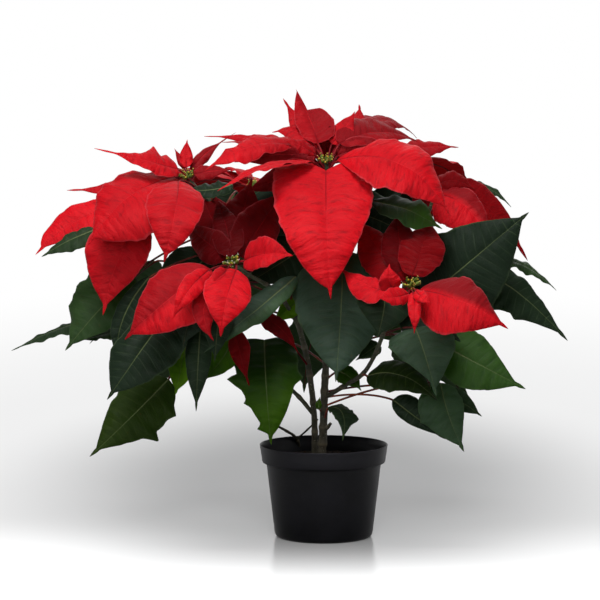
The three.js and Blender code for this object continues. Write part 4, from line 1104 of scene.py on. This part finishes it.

# More leaves: those that show behind the big ones, and those that fill the sides and the back.
# The Shade leaves are set near black by a low tone: painted shade that fills the shaded gaps in the crown.
moreLeafRows = {
    "leafShadeLeftLow": rowOf(
        "sideStem", 0.72, [-176, 263, -22], [-202, 222, -28], [-209, 178, -28], (-0.1, -1, 0.2), (26, 11),
        tone=0.0, widest=0.5, stalkRadius=0.9),
    "leafShadeLowLeft": rowOf(
        "lowerLeftBranch", 0.68, [-102, 246, -62], [-107, 212, -70], [-110, 178, -70], (0, -1, 0.2),
        (14, 14), tone=0.05, stalkRadius=0.9),
    "leafRightTip": rowOf(
        "rightBranch", 0.75, [172, 283, 32], [205, 273, 36], [234, 250, 36], (0, -0.3, 1), (14, 14),
        tone=0.6),
    "leafRightTop": rowOf(
        "rightBranch", 0.85, [140, 346, 38], [163, 353, 44], [188, 334, 46], (0, -0.5, 0.9), (12, 12),
        tone=0.5, lobes=((1, 0.6, 0.5, 0.1),)),
    "leafRightBehindLow": rowOf(
        "mainStem", 0.6, [70, 139, -16], [92, 122, -22], [123, 99, -24], (0, -1, 0.2), (16, 10), tone=0.05),
    "leafRightBehindTip": rowOf(
        "mainStem", 0.65, [118, 148, -4], [139, 137, -6], [160, 122, -6], (0, -1, 0.2), (11, 11), tone=0.3),
    "leafByStemSmall": rowOf(
        "mainStem", 0.75, [14, 168, -2], [26, 162, -8], [38, 148, -12], (0.2, -1, 0.3), (11, 11), tone=0.6,
        kind="young"),
    "leafByStemTiny": rowOf(
        "lowerRightBranch", 0.5, [56, 196, -16], [46, 189, -18], [32, 179, -18], (0, -1, 0.4), (9, 9),
        tone=0.35),
    "leafBud": rowOf(
        "mainStem", 0.45, [-5, 129, -4], [-5, 135, -6], [-4, 142, -6], (0, -1, 0.3), (3.5, 3), tone=1.0,
        kind="young", stalkRadius=0.6),
    "leafLime": rowOf(
        "sideStem", 0.42, [-26, 240, 4], [-36, 231, 2], [-52, 216, 2], (0, -1, 0.4), (11, 11), tone=1.0,
        kind="lime"),
    "leafLeftBright": rowOf(
        "lowBranch", 0.9, [-138, 196, -30], [-144, 172, -38], [-150, 144, -40], (-0.1, -1, 0.3), (17, 15),
        tone=1.0, kind="lime"),
    "leafLeftYellow": rowOf(
        "lowBranch", 0.75, [-92, 200, -24], [-104, 179, -32], [-122, 158, -34], (0, -1, 0.3), (14, 14),
        tone=0.9, kind="young"),
    "leafLeftUnder": rowOf(
        "sideStem", 0.72, [-196, 213, 6], [-221, 206, 6], [-246, 199, 4], (0, -0.3, 1), (11, 11), tone=0.3),
    "leafUnderLeftHead": rowOf(
        "sideStem", 0.9, [-92, 357, -30], [-118, 351, -34], [-150, 354, -30], (0, -0.6, 0.8), (11, 12),
        tone=0.05),
    "leafLeftEdge": rowOf(
        "sideStem", 0.86, [-228, 312, -12], [-256, 300, -16], [-284, 284, -16], (0.1, -0.7, 0.8), (15, 9),
        tone=0.4, left={"widest": 0.3}),
    "leafShadeMiddle": rowOf(
        "topBranch", 0.55, [-8, 300, 10], [-40, 280, 0], [-84, 252, -14], (-0.1, -1, 0.3), (26, 26),
        tone=0.05),
    "leafShadeLeft": rowOf(
        "sideStem", 0.7, [-110, 290, 6], [-140, 262, -14], [-168, 228, -20], (-0.1, -1, 0.3), (30, 30),
        tone=0.0),
    "leafShadeHigh": rowOf(
        "topBranch", 0.7, [-6, 335, 14], [-52, 330, 14], [-104, 306, 4], (0, -0.9, 0.5), (30, 30), tone=0.0),
    "leafShadeHighRight": rowOf(
        "topBranch", 0.65, [16, 330, 10], [52, 322, 6], [96, 300, 0], (0.1, -0.9, 0.5), (30, 30), tone=0.0),
    "leafShadeLowHead": rowOf(
        "lowerLeftBranch", 0.8, [-104, 262, -62], [-130, 232, -74], [-142, 190, -78], (0, -1, 0.3), (26, 26),
        tone=0.0),
    "leafShadeRight": rowOf(
        "rightBranch", 0.45, [84, 268, 8], [116, 246, -8], [140, 214, -14], (0.1, -1, 0.3), (30, 30),
        tone=0.0),
    "leafShadeLowRight": rowOf(
        "lowerRightBranch", 0.68, [80, 232, -44], [110, 218, -56], [138, 198, -58], (0.1, -1, 0.4), (26, 26),
        tone=0.0),
    "leafShadeFarLeft": rowOf(
        "sideStem", 0.85, [-88, 350, 30], [-102, 322, 26], [-112, 282, 20], (0, -1, 0.3), (34, 34),
        tone=0.0),
    "leafShadeFarMiddle": rowOf(
        "topBranch", 0.75, [-30, 356, 26], [-46, 322, 24], [-56, 280, 18], (0, -1, 0.3), (34, 34), tone=0.0),
    "leafShadeFarRight": rowOf(
        "rightBranch", 0.7, [50, 350, 34], [66, 326, 30], [80, 290, 24], (0, -1, 0.3), (30, 30), tone=0.0),
    "leafBackMiddle": rowOf(
        "backBranch", 0.5, [30, 262, 100], [50, 232, 140], [84, 190, 152], (0.1, 0.9, 0.5), (36, 36),
        tone=0.4),
    "leafBackLeftWide": rowOf(
        "backLeftBranch", 0.5, [-60, 290, 90], [-92, 258, 126], [-128, 220, 142], (-0.1, 0.9, 0.5), (32, 32),
        tone=0.4),
    "leafBackLow": rowOf(
        "mainStem", 0.9, [-56, 200, 70], [-58, 165, 100], [-60, 120, 112], (0, 0.9, 0.4), (26, 26),
        tone=0.5),
    "leafBackLowRight": rowOf(
        "mainStem", 0.95, [84, 205, 60], [98, 178, 86], [112, 138, 98], (0.2, 0.9, 0.4), (26, 26), tone=0.3),
    "leafBackLowLeft": rowOf(
        "sideStem", 0.45, [-130, 235, 50], [-160, 205, 80], [-190, 162, 92], (-0.2, 0.9, 0.4), (28, 28),
        tone=0.3),
    "leafBackCentre": rowOf(
        "backBranch", 0.3, [0, 230, 84], [-14, 192, 116], [-20, 146, 124], (0, 1, 0.3), (28, 28), tone=0.2),
    "leafBackRightFar": rowOf(
        "backBranch", 0.6, [120, 300, 104], [156, 276, 134], [176, 236, 150], (0.3, 0.7, 0.7), (27, 27),
        tone=0.5),
    "leafSideRight": rowOf(
        "rightBranch", 0.55, [130, 276, 44], [172, 256, 62], [206, 222, 70], (0.8, 0.2, 0.6), (28, 28),
        tone=0.3),
    "leafSideRightLow": rowOf(
        "rightBranch", 0.25, [80, 200, 30], [122, 170, 44], [150, 126, 48], (0.7, 0.5, 0.5), (26, 26),
        tone=0.4),
    "leafSideLeft": rowOf(
        "sideStem", 0.62, [-150, 250, 30], [-196, 232, 46], [-236, 196, 52], (-0.6, 0.3, 0.7), (26, 26),
        tone=0.3),
    "leafSideLeftLow": rowOf(
        "lowBranch", 0.6, [-120, 200, 10], [-160, 176, 30], [-196, 136, 36], (-0.5, 0.6, 0.5), (26, 26),
        tone=0.4),
}
for rowName, row in smallBractRows.items():
    addBlade(rowName, row, "bract")
for rowName, row in moreLeafRows.items():
    addBlade(rowName, row, "leaf")
print("small bracts and back leaves ready")


# Flower centres

cupLook = {
    "cups": 9, "turn": 2.4, "spread": 7.2, "lean": 0.075, "footOut": 0.55, "cupOut": 0.35, "rise": 2,
    "sizes": (0.82, 1.12), "height": 5.2, "radius": 1.9, "sides": 10,
    "profile": ((0, 0.35), (0.12, 0.7), (0.35, 1.0), (0.62, 0.98), (0.85, 0.68), (1.0, 0.5), (1.04, 0.3)),
    "gland": (1.15, 0.85, 0.5), "glandHeight": 0.84, "glandOut": 0.85,
    "stamens": 4, "stamenLength": 1.9, "stamenShare": (0.6, 1.1), "stamenSpread": 0.45,
    "stamenRadius": 0.16, "tipRadius": 0.42, "tipOut": 0.2,
    "above": 1.2, "sunk": 1.5, "stalkRadii": (0.9, 0.8, 0.7), "stalkSides": 6,
}
cupTints = {
    "cup": ((0.10, 0.17, 0.03, 1), (0.26, 0.33, 0.06, 1)),
    "gland": ((0.62, 0.42, 0.03, 1), (0.80, 0.62, 0.08, 1)),
    "stamen": ((0.35, 0.02, 0.02, 1), (0.55, 0.06, 0.04, 1)),
    "yellowTip": ((0.70, 0.55, 0.10, 1), (0.85, 0.72, 0.22, 1)),
    "whiteTip": ((0.72, 0.66, 0.52, 1), (0.88, 0.84, 0.74, 1)),
}
finishes.update({name: stalkSkin(name, *tints) for name, tints in cupTints.items()})
# Each head: its stem, the way that it faces, and the colour of its stamen tips.
centreRows = {
    "topFlowerCentre": ("topBranch", (0.1, -0.45, 1), "yellowTip"),
    "leftFlowerCentre": ("sideStem", (-0.1, -0.5, 1), "yellowTip"),
    "lowLeftFlowerCentre": ("lowerLeftBranch", (0, -1, 0.7), "whiteTip"),
    "lowRightFlowerCentre": ("lowerRightBranch", (0.1, -1, 0.7), "yellowTip"),
    "rightFlowerCentre": ("rightBranch", (0.2, -0.4, 1), "yellowTip"),
    "backRightFlowerHead": ("backBranch", (0.1, 0.5, 1), "yellowTip"),
    "backLeftFlowerHead": ("backLeftBranch", (-0.1, 0.5, 1), "yellowTip"),
}


def paintFaces(points, material):
    for face in {f for v in points for f in v.link_faces}:
        face.material_index = material


def addCup(bm, rnd, foot, axis, size):
    height, radius = cupLook["height"] * size, cupLook["radius"] * size
    rings = [((foot + axis * height * a) * mm, axis, radius * r * mm) for a, r in cupLook["profile"]]
    addTube(bm, rings, cupLook["sides"], 0)
    outward = Vector((rnd.uniform(-1, 1), rnd.uniform(-1, 0.2), rnd.uniform(-0.4, 0.6)))
    outward = (outward - axis * outward.dot(axis)).normalized()
    gland = bmesh.ops.create_uvsphere(bm, u_segments=8, v_segments=6, radius=1)["verts"]
    turn = (axis * 0.5 + outward).to_track_quat("Z", "Y").to_matrix().to_4x4()
    spot = foot + axis * height * cupLook["glandHeight"] + outward * radius * cupLook["glandOut"]
    scale = Matrix.Diagonal((*(c * size * mm for c in cupLook["gland"]), 1))
    bmesh.ops.transform(bm, matrix=Matrix.Translation(spot * mm) @ turn @ scale, verts=gland)
    paintFaces(gland, 1)
    spread = cupLook["stamenSpread"]
    for _ in range(cupLook["stamens"]):
        lean = (axis + Vector([rnd.uniform(-spread, spread) for _ in range(3)])).normalized()
        length = cupLook["stamenLength"] * rnd.uniform(*cupLook["stamenShare"]) * size
        start = foot + axis * height
        steps = [((start + lean * length * k / 3) * mm, lean, cupLook["stamenRadius"] * mm) for k in range(4)]
        addTube(bm, steps, 5, 2)
        tip = bmesh.ops.create_icosphere(bm, subdivisions=1, radius=cupLook["tipRadius"] * size * mm)["verts"]
        bmesh.ops.translate(bm, verts=tip, vec=(start + lean * (length + cupLook["tipOut"])) * mm)
        paintFaces(tip, 3)


def addCentre(name, row):
    stem, facing, tipFinish = row
    rnd = random.Random(name)
    course = courses[stem]
    top = course.along(1) + course.tangent(1) * cupLook["above"]
    axis = Vector(facing).normalized()
    across = axis.cross(Vector((0.2, 0.1, 1))).normalized()
    bm = bmesh.new()
    for i in range(cupLook["cups"]):
        turn = i * cupLook["turn"]
        far = cupLook["spread"] * math.sqrt(i / cupLook["cups"])
        out = across * math.cos(turn) + axis.cross(across) * math.sin(turn)
        lean = (axis + out * far * cupLook["lean"]).normalized()
        foot = top + out * far * cupLook["footOut"] + axis * rnd.uniform(0, cupLook["rise"])
        centres = (top - axis * cupLook["sunk"], (top + foot) / 2, foot + lean)
        stalk = [(c * mm, lean, radius * mm) for c, radius in zip(centres, cupLook["stalkRadii"])]
        addTube(bm, stalk, cupLook["stalkSides"], 0)
        addCup(bm, rnd, foot + out * far * cupLook["cupOut"], lean, rnd.uniform(*cupLook["sizes"]))
    finishPiece(name, bm, ("cup", "gland", "stamen", tipFinish), "flower_cup")


for rowName, row in centreRows.items():
    addCentre(rowName, row)
print("flower centres ready")


# Pot and growing medium

potShape = {
    "steps": 128,
    "outside": (
        (0, 0), (11.4, 0), (12, 0.15), (13.2, 1.2), (39.6, 1.2), (40.8, 0.15), (41.4, 0), (45.2, 0),
        (46.8, 0.4), (48.2, 1.3), (49.1, 2.6), (49.7, 4.4), (52.4, 27), (55.1, 50), (57.7, 72.6),
        (57.95, 74.3), (58.2, 75.2), (61.2, 76.0), (61.9, 76.4), (62.25, 77.2), (63.5, 85), (64.5, 92),
        (64.85, 93.2), (64.75, 93.7), (64.4, 94)),
    "inside": (
        (63.9, 93.9), (63.45, 93.4), (62.5, 87), (60.75, 77.6), (60.2, 77.1), (57.2, 76.6), (56.5, 75.6),
        (56.1, 74), (48.3, 5.2), (45.6, 3.3), (0, 3.2)),
}
potLook = {
    "hazeScale": 34, "deep": (0.0070, 0.0070, 0.0088, 1), "pale": (0.0112, 0.0112, 0.0142, 1),
    "drawScale": 240, "drawStretch": (0.35, 0.35, 3.2), "depth": 0.00005, "strength": 0.6,
    "bandFoot": (0.0755, 0.0775), "bandLightShare": 0.7, "bandLightTint": (0.027, 0.026, 0.032, 1),
    "dustScale": 1500, "dust": (0.70, 0.78), "dustShare": 0.35, "dustTint": (0.10, 0.085, 0.07, 1),
    "rough": (0.32, 0.42), "specular": 0.10,
}


def plasticSkin():
    material, tree, skin, _ = newMaterial("blackPlastic")
    space = objectSpace(tree)
    haze = flecks(tree, space, potLook["hazeScale"], 4)
    drawn = speckle(tree, stretched(tree, space, potLook["drawStretch"]), potLook["drawScale"], 3)
    ground = mixed(tree, haze, potLook["deep"], potLook["pale"])
    band = ranged(tree, heightOf(tree, space), *potLook["bandFoot"])  # painted light: the rim band is lighter where it catches the top lamp
    ground = laid(tree, ground, band, potLook["bandLightShare"], potLook["bandLightTint"])
    dust = flecks(tree, space, potLook["dustScale"], 2, *potLook["dust"])
    ground = laid(tree, ground, dust, potLook["dustShare"], potLook["dustTint"])
    marks = bumped(tree, sums(tree, "ADD", drawn, haze), potLook["depth"], potLook["strength"])
    coat(tree, skin, ground, ranged(tree, haze, 0, 1, *potLook["rough"]), marks, potLook["specular"])
    return material


def addPot():
    bm = bmesh.new()
    addTurned(bm, potShape["outside"] + potShape["inside"], potShape["steps"])
    finishPiece("potWall", bm, ("plastic",), "pot_plastic", "pot")


peatShape = {
    "steps": 72, "below": ((0, 3.6), (45.2, 3.6), (47.6, 5.6), (55.8, 74.9), (60.1, 77.4), (60.1, 78.2)),
    "rings": (0.97, 0.92, 0.86, 0.79, 0.72, 0.64, 0.56, 0.48, 0.4, 0.32, 0.24, 0.16, 0.08),
    "radius": 60.1, "level": 78.2, "crown": 2.6, "crownFall": 0.7,
    "lumps": 1.5, "lumpScale": 0.16, "lumpShape": (0.9, 2.2, 4),
    "crumbs": 420, "crumbsWithin": 58.5, "crumbSize": (0.5, 1.9), "crumbRough": 0.3,
    "crumbWide": (0.5, 1), "crumbHigh": (0.4, 0.8), "crumbLift": 0.1,
}
peatLook = {
    "clodScale": 120, "deep": (0.012, 0.007, 0.004, 1), "pale": (0.055, 0.032, 0.018, 1),
    "fibreScale": 900, "fibre": (0.62, 0.7), "fibreShare": 0.7, "fibreTint": (0.13, 0.08, 0.045, 1),
    "rough": (0.85, 0.97), "grainScale": 700, "depth": 0.0012,
}


def peatSkin():
    material, tree, skin, _ = newMaterial("peat")
    space = objectSpace(tree)
    clod = flecks(tree, space, peatLook["clodScale"], 5)
    ground = mixed(tree, clod, peatLook["deep"], peatLook["pale"])
    fibre = flecks(tree, space, peatLook["fibreScale"], 3, *peatLook["fibre"])
    ground = laid(tree, ground, fibre, peatLook["fibreShare"], peatLook["fibreTint"])
    grain = sums(tree, "ADD", clod, speckle(tree, space, peatLook["grainScale"], 4))
    coat(tree, skin, ground, ranged(tree, clod, 0, 1, *peatLook["rough"]),
         bumped(tree, grain, peatLook["depth"]))
    return material


def peatHeight(out, share):
    lump = noise.fractal(out * peatShape["lumpScale"], *peatShape["lumpShape"]) * peatShape["lumps"]
    return peatShape["level"] + peatShape["crown"] * (1 - share) ** peatShape["crownFall"] + lump


def addPeat():
    rnd = random.Random("peat")
    rough = peatShape["crumbRough"]
    bm = bmesh.new()
    addTurned(bm, peatShape["below"], peatShape["steps"])
    edge = [e for e in bm.edges if e.is_boundary]
    for share in peatShape["rings"]:
        grown = bmesh.ops.extrude_edge_only(bm, edges=edge)["geom"]
        edge = [e for e in grown if isinstance(e, bmesh.types.BMEdge) and e.is_boundary]
        for v in (g for g in grown if isinstance(g, bmesh.types.BMVert)):
            out = Vector((v.co.x, v.co.y, 0)).normalized() * peatShape["radius"] * share
            v.co = (out + Vector((0, 0, peatHeight(out, share)))) * mm
    bmesh.ops.contextual_create(bm, geom=edge)
    for _ in range(peatShape["crumbs"]):
        turn, far = rnd.uniform(0, 6.283), math.sqrt(rnd.random()) * peatShape["crumbsWithin"]
        out = Vector((math.cos(turn), math.sin(turn), 0)) * far
        height = peatHeight(out, far / peatShape["radius"])
        size = rnd.uniform(*peatShape["crumbSize"])
        crumb = bmesh.ops.create_icosphere(bm, subdivisions=1, radius=1)["verts"]
        for v in crumb:
            v.co *= 1 + rnd.uniform(-rough, rough)
        tumble = Matrix.Rotation(rnd.uniform(0, 6.28), 4, "Z") @ Matrix.Rotation(rnd.uniform(0, 1.5), 4, "X")
        wide, high = rnd.uniform(*peatShape["crumbWide"]), rnd.uniform(*peatShape["crumbHigh"])
        shape = Matrix.Diagonal((size * mm, size * wide * mm, size * high * mm, 1))
        spot = Matrix.Translation((out + Vector((0, 0, height + size * peatShape["crumbLift"]))) * mm)
        bmesh.ops.transform(bm, matrix=spot @ tumble @ shape, verts=crumb)
    finishPiece("peatBed", bm, ("peat",), "growing_medium", "growing_medium")


finishes["plastic"] = plasticSkin()
finishes["peat"] = peatSkin()
addPot()
addPeat()
print("pot ready")


# Floor. The lamps' shade shows grey in an oval under the plant; outward it is mixed more and more
# with a white emission, painted light that fades to plain white all round.

floorLook = {
    "size": 60, "cloudScale": 1.2, "tint": (0.93, 0.935, 0.94, 1), "cloud": (0.88, 0.885, 0.89, 1),
    "rough": (0.16, 0.2), "centre": 0.35, "squeeze": 2.17, "whiteFrom": 0.25, "whiteTo": 0.95,
    "nearShare": 0.75, "farWhite": 2.6,
}


def addFloor():
    material, tree, skin, surface = newMaterial("paleFloor")
    space = objectSpace(tree)
    cloud = flecks(tree, space, floorLook["cloudScale"], 3)
    coat(tree, skin, mixed(tree, cloud, floorLook["tint"], floorLook["cloud"]),
         ranged(tree, cloud, 0, 1, *floorLook["rough"]))
    # Painted light: a white glow, not a lamp, that grows with distance from an oval round a point behind the
    # pot.
    oval = stretched(tree, space, (floorLook["squeeze"], 1, 1), (0, -floorLook["centre"], 0))
    distance = added(tree, "VectorMath", {0: oval}, operation="LENGTH")["Value"]
    share = floorLook["nearShare"]
    near = ranged(tree, distance, floorLook["whiteFrom"], floorLook["whiteTo"], 0, share)
    rest = ranged(tree, distance, floorLook["whiteTo"], floorLook["farWhite"], 0, 1 - share)
    paintedGlow = added(tree, "Emission")[0]
    wire(tree, surface, blended(tree, sums(tree, "ADD", near, rest), skin.outputs[0], paintedGlow))
    bm = bmesh.new()
    bmesh.ops.create_grid(bm, x_segments=4, y_segments=4, size=floorLook["size"])
    mesh = bpy.data.meshes.new("floor")
    bm.to_mesh(mesh)
    bm.free()
    mesh.materials.append(material)
    floor = bpy.data.objects.new("floor", mesh)
    scene.collection.objects.link(floor)
    lightSets["floorPieces"].objects.link(floor)
    floor.visible_diffuse = False  # its bounce would wash out the shade under the leaves


addFloor()
